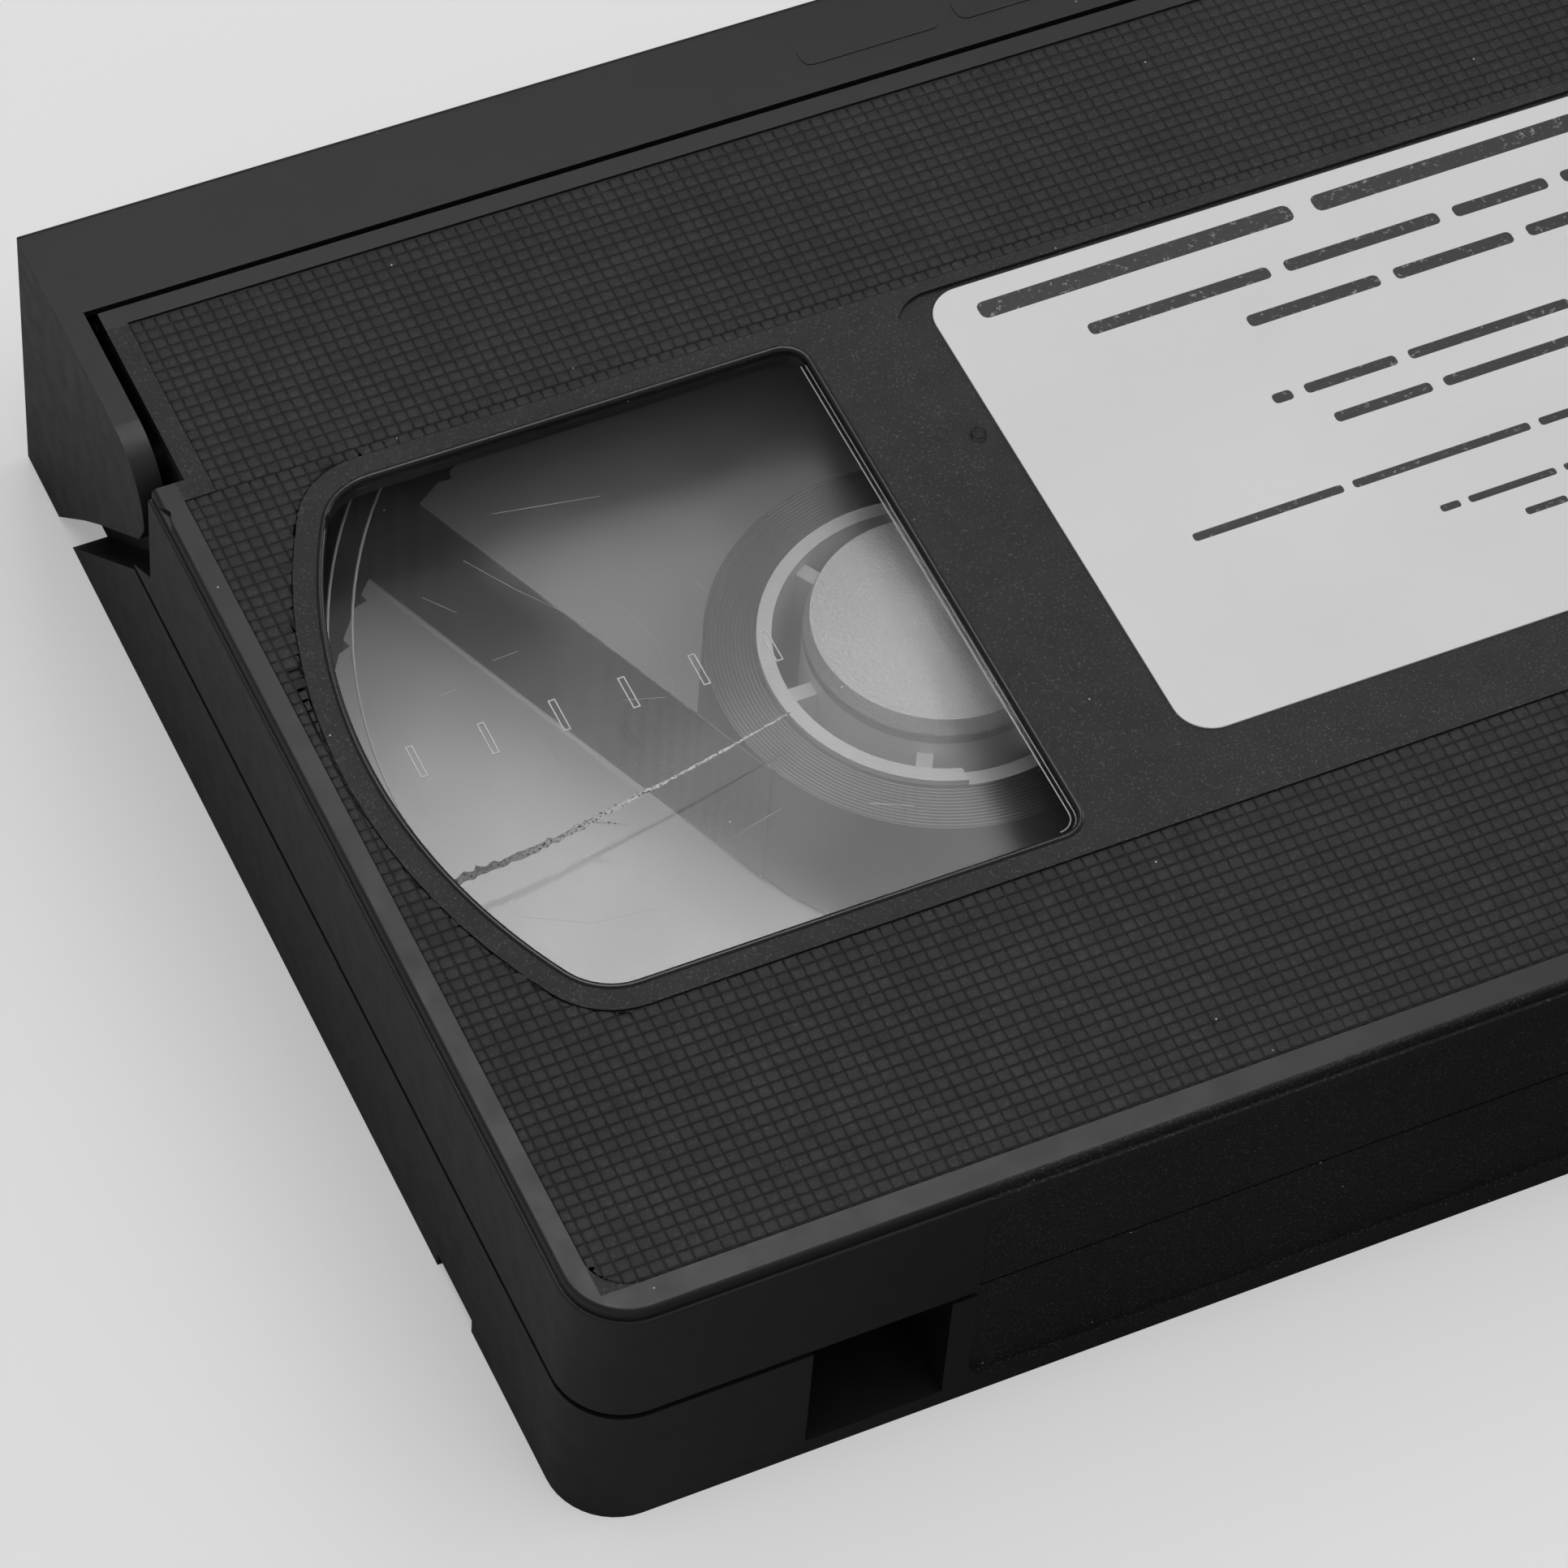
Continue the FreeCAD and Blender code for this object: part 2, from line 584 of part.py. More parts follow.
def pocket_space(name, grow, z):
    """Make the loading pocket's plan: open in front, between the two reel rooms."""
    half = "pocket_half + (%s)" % grow
    slab = box(name + "_slab", mirror_pair(half), ("pocket_rear - (%s)" % grow, "case_depth"), z)
    radius = "flange_radius + reel_room + front_wall - (%s)" % grow
    left = cylinder(name + "_left", radius, ("(%s) - 1" % z[0], "(%s) + 1" % z[1]), "-reel_x", REEL_BACK)
    right = cylinder(name + "_right", radius, ("(%s) - 1" % z[0], "(%s) + 1" % z[1]), "reel_x", REEL_BACK)
    return cut(name, slab, left, right)


def write_protect_well():
    """Return the solid walls round the write-protect hole, and the hole itself."""
    outer = ("-tab_inner - tab_width - tab_wall", "-tab_inner + tab_wall")
    inner = ("-tab_inner - tab_width", "-tab_inner")
    walls = box("TabWalls", outer, ("-(%s) + 0.5" % CASE_END, "-(%s) + tab_depth + tab_wall" % CASE_END),
                ("floor_thick - 0.5", JOIN))
    hole = box("TabHole", inner, ("-case_depth", "-(%s) + tab_depth" % CASE_END),
               ("floor_thick", "case_height"))
    return walls, hole


def release_ears():
    """Model the two bearing ears of the brake release lever."""
    ear = box("ReleaseEar", ("release_half + ear_gap", "release_half + ear_gap + ear_thick"),
              ("-release_y - 2.2", "-release_y + 2.2"), ("floor_thick - 0.5", "release_z + 2.2"))
    ears = both_sides("ReleaseEars", ear)
    bore = rod("ReleaseBore", "small_post + hinge_clear", ("-case_length", "case_length"),
               "-release_y", "release_z")
    return cut("ReleaseBearings", ears, bore)


def lower_shell():
    """Model the lower shell: floor, walls, wells, pocket, posts and bosses."""
    skirt = case_block("LowerSkirt", "0", ("0", "seam_level"))
    wedge = box("WedgeBlock", mirror_pair(CASE_SIDE), ("0", "wedge_foot"), ("0", "seam_level"))
    nose = box("LowerNose", mirror_pair(RECESS), (RECESS_BACK, SHELL_FRONT), ("0", JOIN))
    tongue = case_block("Tongue", "reveal_depth", ("floor_thick", JOIN))
    fill = box("SpineFill", mirror_pair("spine_half"),
               ("-(%s) + spine_sunk" % CASE_END, "-(%s) + wall_thick" % CASE_END),
               ("floor_thick", "seam_level + seam_fill"))
    body = fuse("LowerBody", skirt, wedge, nose, tongue, fill)
    room = box("LowerRoom", mirror_pair(INNER), ("-(%s) + wall_thick" % CASE_END, RECESS_BACK),
               ("floor_thick", "case_height"))
    room = rear_corners("LowerRoomRound", room, size("corner_round") - size("wall_thick"))
    front_room = box("LowerFrontRoom", mirror_pair(RECESS_INNER),
                     ("%s - 1" % RECESS_BACK, "case_depth"), ("floor_thick", "case_height"))
    slope = [
        ("wedge_foot", "0"),
        ("wedge_seam", "seam_level"),
        ("wedge_seam", "case_height"),
        ("case_depth", "case_height"),
        ("case_depth", "-1"),
        ("wedge_foot", "-1"),
    ]
    notch = both_sides("LowerNotch", prism("LowerNotchSide", "yz", slope, RECESS, "case_length"))
    tongue_trim = box("TongueTrim", (RECESS + " - reveal_depth", "case_length"),
                      (RECESS_BACK, "case_depth"), ("seam_level", "case_height"))
    hollow = cut("LowerHollow", body, room, front_room, notch, both_sides("TongueTrims", tongue_trim))

    pocket_wall = common("PocketWall", pocket_space("PocketOuter", "front_wall", ("0", "pocket_top")),
                         box("PocketLimit", mirror_pair("pocket_half"), ("0", SHELL_FRONT),
                             ("0", "pocket_top")))
    bosses = screw_columns("LowerBoss", "boss_radius", ("floor_thick - 0.5", JOIN))
    seat = ring("ReelSeat", "seat_ring + seat_wide / 2", "seat_ring - seat_wide / 2",
                ("floor_thick - 0.5", "flange_low - seat_gap"), "-reel_x", REEL_BACK)
    lamp = cylinder("LampTube", "lamp_radius + lamp_wall", ("0", "lamp_tall"), "0", "lamp_y")
    tongue_floor = box("LampTongue", mirror_pair("lamp_radius + lamp_wall"),
                       ("pocket_rear - front_wall", "lamp_y"), ("0", "floor_thick"))
    posts = [
        cylinder("PawlPost", "small_post", ("floor_thick - 0.5", "post_top"), "-pawl_x", "-pawl_y"),
        cylinder("PawlPostRight", "small_post", ("floor_thick - 0.5", "post_top"), "pawl_x", "-pawl_y"),
        cylinder("LockPost", "small_post", ("floor_thick - 0.5", "lock_low + lock_tall + 1"),
                 LOCK_X, "lock_y"),
    ]
    walls, tab_hole = write_protect_well()
    solid = fuse("LowerSolid", hollow, bosses, both_sides("ReelSeats", seat), release_ears(),
                 walls, *posts)
    pocket = pocket_space("Pocket", "0", ("-1", "case_height"))
    opened = fuse("LowerOpened", cut("LowerPocketed", fuse("LowerWalled", solid, pocket_wall), pocket),
                  tongue_floor, lamp)

    slot = box("SideSlot", ("%s - slot_deep" % CASE_SIDE, "case_length"),
               ("-slot_rear", "-slot_rear + slot_long"), ("-1", "slot_tall"))
    reel_hole = cylinder("ReelHole", "skirt_radius + hole_play", ("-1", "floor_thick + 1"),
                         "-reel_x", REEL_BACK)
    release_hole = cylinder("ReleaseHole", "release_hole", ("-1", "floor_thick + 1"),
                            "0", "-release_hole_y")
    lamp_bore = cylinder("LampBore", "lamp_radius", ("-1", "lamp_tall - lamp_wall"), "0", "lamp_y")
    lamp_slit = box("LampSlit", mirror_pair("2 * lamp_radius"), ("lamp_y - 0.8", "lamp_y + 0.8"),
                    ("lamp_tall / 2", "lamp_tall - lamp_wall"))
    button_hole = rod("ButtonHole", "button_radius + 0.5", ("%s - 1" % RECESS_INNER, "case_length"),
                      "button_y", "button_z")
    nose_hole = box("NoseHole", ("%s - 1" % RECESS_INNER, "case_length"),
                    ("lock_end - nose_long - 0.5", "lock_end + 0.5"),
                    ("lock_low", "lock_low + lock_tall / 2 + 1"))
    bores = screw_columns("Bore", "bore_radius", ("-1", "case_height"))
    sinks = screw_columns("Sink", "sink_radius", ("-1", "sink_depth"))
    return sub_part("lower_shell", cut("LowerShell", opened, both_sides("SideSlots", slot),
                                       both_sides("ReelHoles", reel_hole), release_hole, lamp_bore,
                                       lamp_slit, button_hole, nose_hole, bores, sinks, tab_hole,
                                       spine_recess("SpineRecessLow")))


def windows():
    """Model the two clear windows: a plug in the opening on a wider rim below the panel."""
    plug = window_shape("WindowPlug", "-window_clear", -size("window_clear"),
                        (ROOF + " - 0.1", "case_height - window_sunk"))
    rim = window_shape("WindowRim", "window_rim", size("window_rim"), (ROOF + " - window_flange", ROOF))
    left = sub_part("left_window", fuse("LeftWindow", plug, rim))
    right = sub_part("right_window", mirrored("RightWindow", left))
    return [left, right]


def face_label():
    """Model the paper label on the top panel."""
    low = "case_height - label_sunk"
    return sub_part("face_label", label_block("FaceLabel", "paper_half", "paper_rear", "paper_front",
                                              (low, low + " + paper_thick"), "paper_round"))


def front_door():
    """Model the front door: front plate, top flap, two arms with round ends and hinge pins."""
    plate = box("DoorPlate", mirror_pair(CASE_SIDE), ("%s - door_thick" % CASE_END, CASE_END),
                ("door_lift", "case_height"))
    flap_rear = "(%s - flap_depth)" % CASE_END
    flap_profile = [
        (flap_rear, "case_height"),
        (flap_rear, "case_height - flap_edge"),
        (flap_rear + " + flap_taper", "case_height - door_thick"),
        (CASE_END, "case_height - door_thick"),
        (CASE_END, "case_height"),
    ]
    flap = prism("DoorFlap", "yz", flap_profile, "-(%s) + 0.1" % CASE_SIDE, "%s - 0.1" % CASE_SIDE)
    arm_profile = [
        (CASE_END, "case_height"),
        ("pivot_y", "case_height"),
        ("pivot_y", PIVOT_Z),
        ("pivot_y - arm_round", PIVOT_Z),
        ("arm_tip_y", "arm_tip_z"),
        ("arm_bend_y", "arm_bend_z"),
        ("arm_knee_y", "arm_knee_z"),
        ("arm_foot", "door_lift"),
        (CASE_END, "door_lift"),
    ]
    arm = prism("DoorArm", "yz", arm_profile, "%s - arm_thick" % CASE_SIDE, CASE_SIDE)
    end = document.addObject("Part::Cylinder", "DoorArmEnd")
    bind(end, Radius="arm_round", Height="arm_thick")
    end.Angle = 90
    quarter = LENGTHWAYS.multiply(FreeCAD.Rotation(FreeCAD.Vector(0, 0, 1), 180))
    place(end, "%s - arm_thick" % CASE_SIDE, "pivot_y", PIVOT_Z, quarter)
    pin = rod("DoorPin", "hinge_radius", ("%s - arm_thick - hinge_reach" % CASE_SIDE, CASE_SIDE),
              "pivot_y", PIVOT_Z)
    side = fuse("DoorSide", arm, end, pin)
    catch = box("DoorCatch", ("%s - arm_thick - catch_thick" % CASE_SIDE, "%s - 0.1" % CASE_SIDE),
                ("lock_end - nose_long", "lock_end"), ("lock_low", "lock_low + lock_tall / 2"))
    sharp = fuse("DoorSharp", plate, flap, both_sides("DoorSides", side), catch)
    top = size("case_height")
    front = size("case_depth") / 2
    radius = size("door_edge")

    def chosen(edge):
        middle = edge.CenterOfMass
        across = along(edge, 0) and middle.y > front - 0.01 and middle.z > top - 0.01
        upright = along(edge, 2) and middle.y > front - 0.01
        return radius if across or upright else 0
    return sub_part("front_door", rounded("FrontDoor", sharp, chosen))


def hub_profile():
    """Return the hub's half section: flange, ring, web, inner cylinder, skirt."""
    flange_top = "flange_low + flange_thick"
    return [
        ("skirt_radius - skirt_wall", "well_lip"),
        ("skirt_radius", "well_lip"),
        ("skirt_radius", "flange_low"),
        ("flange_radius", "flange_low"),
        ("flange_radius", flange_top),
        ("hub_radius", flange_top),
        ("hub_radius", FLANGE_TOP_LOW),
        ("hub_radius - hub_wall", FLANGE_TOP_LOW),
        ("hub_radius - hub_wall", flange_top),
        ("core_radius", flange_top),
        ("core_radius", FLANGE_TOP_LOW),
        ("0", FLANGE_TOP_LOW),
        ("0", FLANGE_TOP_LOW + " - web_thick"),
        ("well_radius", FLANGE_TOP_LOW + " - web_thick"),
        ("well_radius", "well_lip"),
        ("core_radius", "well_lip"),
        ("core_radius", "flange_low"),
        ("skirt_radius - skirt_wall", "flange_low"),
    ]


def body_plane(body, role):
    """Return a body's own origin plane."""
    for feature in body.Origin.OriginFeatures:
        if feature.Role == role:
            return feature
    return None


def body_sketch(body, name, plane, corners):
    """Draw a bound polygon on one of a body's origin planes."""
    item = body.newObject("Sketcher::SketchObject", name)
    item.AttachmentSupport = (body_plane(body, plane), [""])
    item.MapMode = "FlatFace"
    return polygon(item, corners)


def patterned(body, name, feature, count):
    """Repeat a feature round the body's upright axis."""
    pattern = body.newObject("PartDesign::PolarPattern", name)
    pattern.Originals = [feature]
    pattern.Axis = (body_plane(body, "Z_Axis"), [""])
    pattern.Angle = 360
    pattern.setExpression("Occurrences", formula(count))
    body.Tip = pattern
    return pattern


def reel_hub(label, x):
    """Model a reel hub with its lower flange, spokes, drive teeth and brake teeth."""
    stem = "".join(word.title() for word in label.split("_"))
    body = document.addObject("PartDesign::Body", stem)
    revolution = body.newObject("PartDesign::Revolution", stem + "Turned")
    revolution.Profile = body_sketch(body, stem + "Section", "XZ_Plane", hub_profile())
    revolution.ReferenceAxis = (body_plane(body, "Z_Axis"), [""])
    revolution.Angle = 360
    body.Tip = revolution

    half = "web_thick / 2"
    spoke = body.newObject("PartDesign::Pad", stem + "Spoke")
    spoke.Profile = body_sketch(body, stem + "SpokePlan", "XY_Plane", [
        ("core_radius - 0.3", "-" + half),
        ("hub_radius - hub_wall + 0.3", "-" + half),
        ("hub_radius - hub_wall + 0.3", half),
        ("core_radius - 0.3", half),
    ])
    spoke.setExpression("Length", formula(FLANGE_TOP_LOW + " - web_thick - flange_low"))
    spoke.Profile[0].setExpression("AttachmentOffset.Base.z", formula("flange_low"))
    body.Tip = spoke
    patterned(body, stem + "Spokes", spoke, "spoke_count")

    tooth = body.newObject("PartDesign::Pad", stem + "DriveTooth")
    tooth.Profile = body_sketch(body, stem + "DriveToothPlan", "XY_Plane", [
        ("well_radius - drive_tooth", "-0.5"),
        ("well_radius + 0.3", "-1"),
        ("well_radius + 0.3", "1"),
        ("well_radius - drive_tooth", "0.5"),
    ])
    tooth.Profile[0].setExpression("AttachmentOffset.Base.z", formula("well_lip"))
    tooth.setExpression("Length", formula(FLANGE_TOP_LOW + " - web_thick - well_lip"))
    body.Tip = tooth
    patterned(body, stem + "DriveTeeth", tooth, "spoke_count")

    gap = body.newObject("PartDesign::Pocket", stem + "ToothGap")
    gap.Profile = body_sketch(body, stem + "ToothGapPlan", "XY_Plane", [
        ("flange_radius - tooth_deep", "0"),
        ("flange_radius + 1", "-1.2"),
        ("flange_radius + 1", "2.4"),
    ])
    gap.Profile[0].setExpression("AttachmentOffset.Base.z", formula("flange_low - 1"))
    gap.Reversed = True
    gap.setExpression("Length", formula("flange_thick + 2"))
    body.Tip = gap
    patterned(body, stem + "BrakeTeeth", gap, "tooth_count")

    slot = body.newObject("PartDesign::Pocket", stem + "ClipSlot")
    slot.Profile = body_sketch(body, stem + "ClipSlotPlan", "XY_Plane", [
        ("-clip_half - clip_fit", "-(hub_radius - 2 * hub_wall)"),
        ("clip_half + clip_fit", "-(hub_radius - 2 * hub_wall)"),
        ("clip_half + clip_fit", "-hub_radius - 1"),
        ("-clip_half - clip_fit", "-hub_radius - 1"),
    ])
    slot.Profile[0].setExpression("AttachmentOffset.Base.z", formula("flange_low + flange_thick"))
    slot.Reversed = True
    slot.setExpression("Length", formula("tape_play * 2 + tape_wide + 1"))
    body.Tip = slot
    place(body, x, REEL_BACK)
    return sub_part(label, body)


def tape_clip(label, x):
    """Model the clip that holds the tape's end in the hub's slot."""
    z = (TAPE_LOW, TAPE_TOP)
    curved = cut(label + "_curved", cylinder(label + "_face", "hub_radius", z, x, REEL_BACK),
                 cylinder(label + "_bore", "hub_radius - hub_wall", ("0", "case_height"), x, REEL_BACK))
    window = box(label + "_window", ("%s - clip_half" % x, "%s + clip_half" % x),
                 ("%s - hub_radius - 1" % REEL_BACK, "%s - hub_radius / 2" % REEL_BACK), z)
    return sub_part(label, common(label + "_clip", curved, window))


def reel(side, x, pack):
    """Model one reel's pieces."""
    hub = reel_hub(side + "_reel_hub", x)
    flange = turned(side + "_flange", [
        ("core_radius + cap_fit", FLANGE_TOP_LOW),
        ("flange_radius", FLANGE_TOP_LOW),
        ("flange_radius", FLANGE_TOP_LOW + " + flange_thick * 0.8"),
        ("hub_radius + 1", FLANGE_TOP_LOW + " + flange_thick"),
        ("core_radius + cap_fit", FLANGE_TOP_LOW + " + flange_thick"),
    ], x, REEL_BACK)
    dome = document.addObject("Part::Feature", side + "_dome")
    dome.Shape = cap_shape()
    place(dome, x, REEL_BACK)
    tape = ring(side + "_pack", pack, "hub_radius", (TAPE_LOW, TAPE_TOP), x, REEL_BACK)
    return [
        hub,
        sub_part(side + "_upper_flange", flange),
        sub_part(side + "_hub_cap", dome),
        tape_clip(side + "_tape_clip", x),
        sub_part(side + "_tape_pack", tape),
    ]


def cap_shape():
    """Return the frosted cap: a tapered wall with a shallow domed top, hollow below."""
    low = size("flange_low") + size("flange_thick") + 2 * size("tape_play") + size("tape_wide")
    radius = size("core_radius")
    rim = low + size("cap_base")
    top = size("cap_top")
    wall = size("cap_wall")
    shoulder = radius - size("cap_taper")
    inner = shoulder - wall

    def dome_arc(reach, edge, crown):
        """Return the arc from the axis down to the rim."""
        rise = crown - edge
        sphere = (reach * reach + rise * rise) / (2 * rise)
        middle_x = reach / 2
        middle_z = crown - sphere + (sphere * sphere - middle_x * middle_x) ** 0.5
        return Part.Arc(FreeCAD.Vector(0, 0, crown), FreeCAD.Vector(middle_x, 0, middle_z),
                        FreeCAD.Vector(reach, 0, edge)).toShape()
    outer_top = dome_arc(shoulder, rim, top)
    inner_top = dome_arc(inner, rim - wall / 2, top - wall)
    points = [
        FreeCAD.Vector(shoulder, 0, rim),
        FreeCAD.Vector(radius, 0, low + size("flange_thick")),
        FreeCAD.Vector(radius, 0, low),
        FreeCAD.Vector(inner, 0, low),
        FreeCAD.Vector(inner, 0, rim - wall / 2),
    ]
    sides = Part.makePolygon(points).Edges
    axis = Part.makeLine(FreeCAD.Vector(0, 0, top - wall), FreeCAD.Vector(0, 0, top))
    wire = Part.Wire(Part.__sortEdges__([outer_top, inner_top, axis] + sides))
    return Part.Face(wire).revolve(FreeCAD.Vector(), FreeCAD.Vector(0, 0, 1), 360)


def tangent_direction(centre, radius, roller, roller_radius, side):
    """Return the unit normal of the belt line outside two circles on one side."""
    across = roller - centre
    distance = across.Length
    along_line = across * (1 / distance)
    lean = (radius - roller_radius) / distance
    left = FreeCAD.Vector(-along_line.y, along_line.x, 0) * side
    return along_line * lean + left * (1 - lean * lean) ** 0.5


def tape_span():
    """Model the tape between the packs: out to a corner roller, across the front, and back."""
    low = size("flange_low") + size("flange_thick") + size("tape_play")
    thick = size("film_thick")
    front = size("film_level")
    radius = size("roller_radius")
    pieces = []
    for side, pack in ((-1, size("supply_pack")), (1, size("takeup_pack"))):
        centre = FreeCAD.Vector(side * size("reel_x"), -size("reel_y"), 0)
        roller = FreeCAD.Vector(side * size("roller_x"), front - radius, 0)
        normal = tangent_direction(centre, pack, roller, radius, -side)
        start = centre + normal * (pack + thick)
        bend = roller + normal * radius
        run = (bend - start).normalize()
        start = start + run * 0.6
        corner = FreeCAD.Vector(0, 1, 0)
        middle = (normal + corner).normalize()
        inner = [start, bend]
        outer_bend = roller + normal * (radius + thick)
        outer_start = start + normal * thick
        edges = [
            Part.makeLine(inner[0], inner[1]),
            Part.Arc(bend, roller + middle * radius, roller + corner * radius).toShape(),
            Part.makeLine(roller + corner * radius, FreeCAD.Vector(0, front, 0)),
            Part.makeLine(FreeCAD.Vector(0, front, 0), FreeCAD.Vector(0, front + thick, 0)),
            Part.makeLine(FreeCAD.Vector(0, front + thick, 0), roller + corner * (radius + thick)),
            Part.Arc(roller + corner * (radius + thick), roller + middle * (radius + thick),
                     outer_bend).toShape(),
            Part.makeLine(outer_bend, outer_start),
            Part.makeLine(outer_start, start),
        ]
        face = Part.Face(Part.Wire(edges))
        pieces.append(face.extrude(FreeCAD.Vector(0, 0, size("tape_wide"))))
    span = document.addObject("Part::Feature", "TapeSpan")
    span.Shape = pieces[0].fuse(pieces[1]).removeSplitter()
    return sub_part("tape_span", place(span, z="%g" % low))


def guides(side, sign):
    """Model a corner's fixed guide pin, its roller and the roller's pin."""
    level = "film_level - "
    x = "%s * guide_x" % sign
    pin = cylinder(side + "_pin", "guide_radius", ("floor_thick", LEDGE_UNDER), x,
                   level + "guide_radius")
    roller_x = "%s * roller_x" % sign
    roller_y = level + "roller_radius"
    axle = cylinder(side + "_axle", "roller_pin", ("floor_thick", LEDGE_UNDER), roller_x, roller_y)
    body = turned(side + "_roller", [
        ("roller_pin + hinge_clear", "roller_low"),
        ("roller_radius + roller_rim", "roller_low"),
        ("roller_radius + roller_rim", TAPE_LOW + " - 0.5"),
        ("roller_radius - 0.1", TAPE_LOW + " - 0.1"),
        ("roller_radius - 0.1", TAPE_TOP + " + 0.1"),
        ("roller_radius + roller_rim", TAPE_TOP + " + 0.5"),
        ("roller_radius + roller_rim", "roller_high"),
        ("roller_pin + hinge_clear", "roller_high"),
    ], roller_x, roller_y)
    return [
        sub_part(side + "_guide_pin", pin),
        sub_part(side + "_roller_pin", axle),
        sub_part(side + "_guide_roller", body),
    ]


def lever_arm(name, start, end, wide, z):
    """Make a bar between two bound points of a lever, with parallel sides along Y offsets."""
    corners = [
        (start[0], "%s - (%s) / 2" % (start[1], wide)),
        (end[0], "%s - (%s) / 2" % (end[1], wide)),
        (end[0], "%s + (%s) / 2" % (end[1], wide)),
        (start[0], "%s + (%s) / 2" % (start[1], wide)),
    ]
    return prism(name, "xy", corners, z[0], z[1])


def brake_pawls():
    """Model the two brake pawls: an eye, a toothed tip towards the reel and a tail."""
    z = ("pawl_low", "pawl_low + pawl_thick")
    eye = cylinder("PawlEye", "small_eye", z, "-pawl_x", "-pawl_y")
    tip = lever_arm("PawlArm", ("-pawl_x", "-pawl_y"), ("-pawl_reach_x", "-pawl_reach_y - tail_wide / 2"),
                    "tail_wide", z)
    tail = lever_arm("PawlTail", ("-pawl_x", "-pawl_y + 0.6"), ("-tail_x", "-tail_y"), "tail_wide", z)
    bore = cylinder("PawlBore", "small_post + hinge_clear", ("0", "case_height"), "-pawl_x", "-pawl_y")
    pawl = cut("SupplyPawl", fuse("PawlSolid", eye, tip, tail), bore)
    left = sub_part("supply_brake_pawl", pawl)
    right = sub_part("takeup_brake_pawl", mirrored("TakeupPawl", left))
    return [left, right]


def coil(radius, wire, pitch, turns):
    """Return a coil spring of round wire about the Z axis, its path one arc for each half turn."""

    def at(turn):
        angle = 2 * math.pi * turn
        return FreeCAD.Vector(radius * math.cos(angle), radius * math.sin(angle), pitch * turn)

    halves = [Part.Arc(at(half / 2), at(half / 2 + 0.25), at(half / 2 + 0.5)).toShape()
              for half in range(int(2 * turns))]
    start = halves[0].FirstParameter
    section = Part.makeCircle(wire, halves[0].valueAt(start), halves[0].tangentAt(start))
    return Part.Wire(halves).makePipeShell([Part.Wire(section)], True, True)


def brake_springs():
    """Model the coil springs on the pawl posts."""
    springs = []
    for side, sign in (("supply", "-1"), ("takeup", "1")):
        item = document.addObject("Part::Feature", side + "_coil")
        item.Shape = coil(size("coil_radius"), size("wire_radius"), 0.55, size("coil_turns"))
        place(item, sign + " * pawl_x", "-pawl_y", "pawl_low + pawl_thick + 2 * wire_radius")
        springs.append(sub_part(side + "_brake_spring", item))
    return springs


def door_spring():
    """Model the coil spring round the left door pin, inside the set-back wall."""
    item = document.addObject("Part::Feature", "DoorCoil")
    item.Shape = coil(size("door_coil"), size("wire_radius") * 1.25, 0.6, size("coil_turns"))
    place(item, "-(%s) + wire_radius * 1.5" % RECESS_INNER, "pivot_y", PIVOT_Z, LENGTHWAYS)
    return sub_part("door_spring", item)


def brake_release():
    """Model the brake release lever: plate over the hole, finger behind the tails, stub pins."""
    plate = box("ReleasePlate", mirror_pair("release_half"), ("-release_y", "-release_front"),
                ("release_z - release_thick / 2", "release_z + release_thick / 2"))
    barrel = rod("ReleaseBarrel", "small_eye", mirror_pair("release_half"), "-release_y", "release_z")
    pins = rod("ReleasePins", "small_post", mirror_pair("release_half + ear_gap + ear_thick"),
               "-release_y", "release_z")
    finger = box("ReleaseFinger", mirror_pair("finger_half"),
                 ("-finger_rear", "-finger_rear + finger_thick"), ("pawl_low", "release_z"))
    return sub_part("brake_release_lever", fuse("ReleaseLever", plate, barrel, pins, finger))


def door_lock():
    """Model the door lock lever: eye, bar, nose towards the catch, and button."""
    z = ("lock_low", "lock_low + lock_tall")
    half = "lock_thick / 2"
    eye = cylinder("LockEye", "small_eye", z, LOCK_X, "lock_y")
    bar = box("LockBar", (LOCK_X + " - " + half, LOCK_X + " + " + half), ("lock_y", "lock_end"), z)
    nose = box("LockNose", (LOCK_X, "%s - arm_thick - catch_thick - nose_play" % CASE_SIDE),
               ("lock_end - nose_long", "lock_end"), ("lock_low + 0.3", "lock_low + lock_tall / 2"))
    button = rod("LockButton", "button_radius", (LOCK_X, "%s - button_sunk" % CASE_SIDE),
                 "button_y", "button_z")
    bore = cylinder("LockBore", "small_post + hinge_clear", ("0", "case_height"), LOCK_X, "lock_y")
    return sub_part("door_lock", cut("LockLever", fuse("LockSolid", eye, bar, nose, button), bore))


def leaf_spring():
    """Model the steel leaf spring that presses on both hub caps."""
    tip = "reel_x - spring_tip"
    low = "cap_top + spring_gap"
    corners = [
        ("-(%s)" % tip, low + " + spring_thick"),
        ("-spring_flat", ROOF),
        ("spring_flat", ROOF),
        (tip, low + " + spring_thick"),
        (tip, low),
        ("spring_flat", ROOF + " - spring_thick"),
        ("-spring_flat", ROOF + " - spring_thick"),
        ("-(%s)" % tip, low),
    ]
    outline = sketch("LeafOutline", "xz", corners)
    outline.setExpression("Placement.Base.y", formula("-reel_y + spring_wide / 2"))
    item = document.addObject("Part::Extrusion", "LeafSpring")
    item.Base = outline
    item.DirMode = "Normal"
    item.Solid = True
    bind(item, LengthFwd="spring_wide")
    return sub_part("reel_leaf_spring", item)


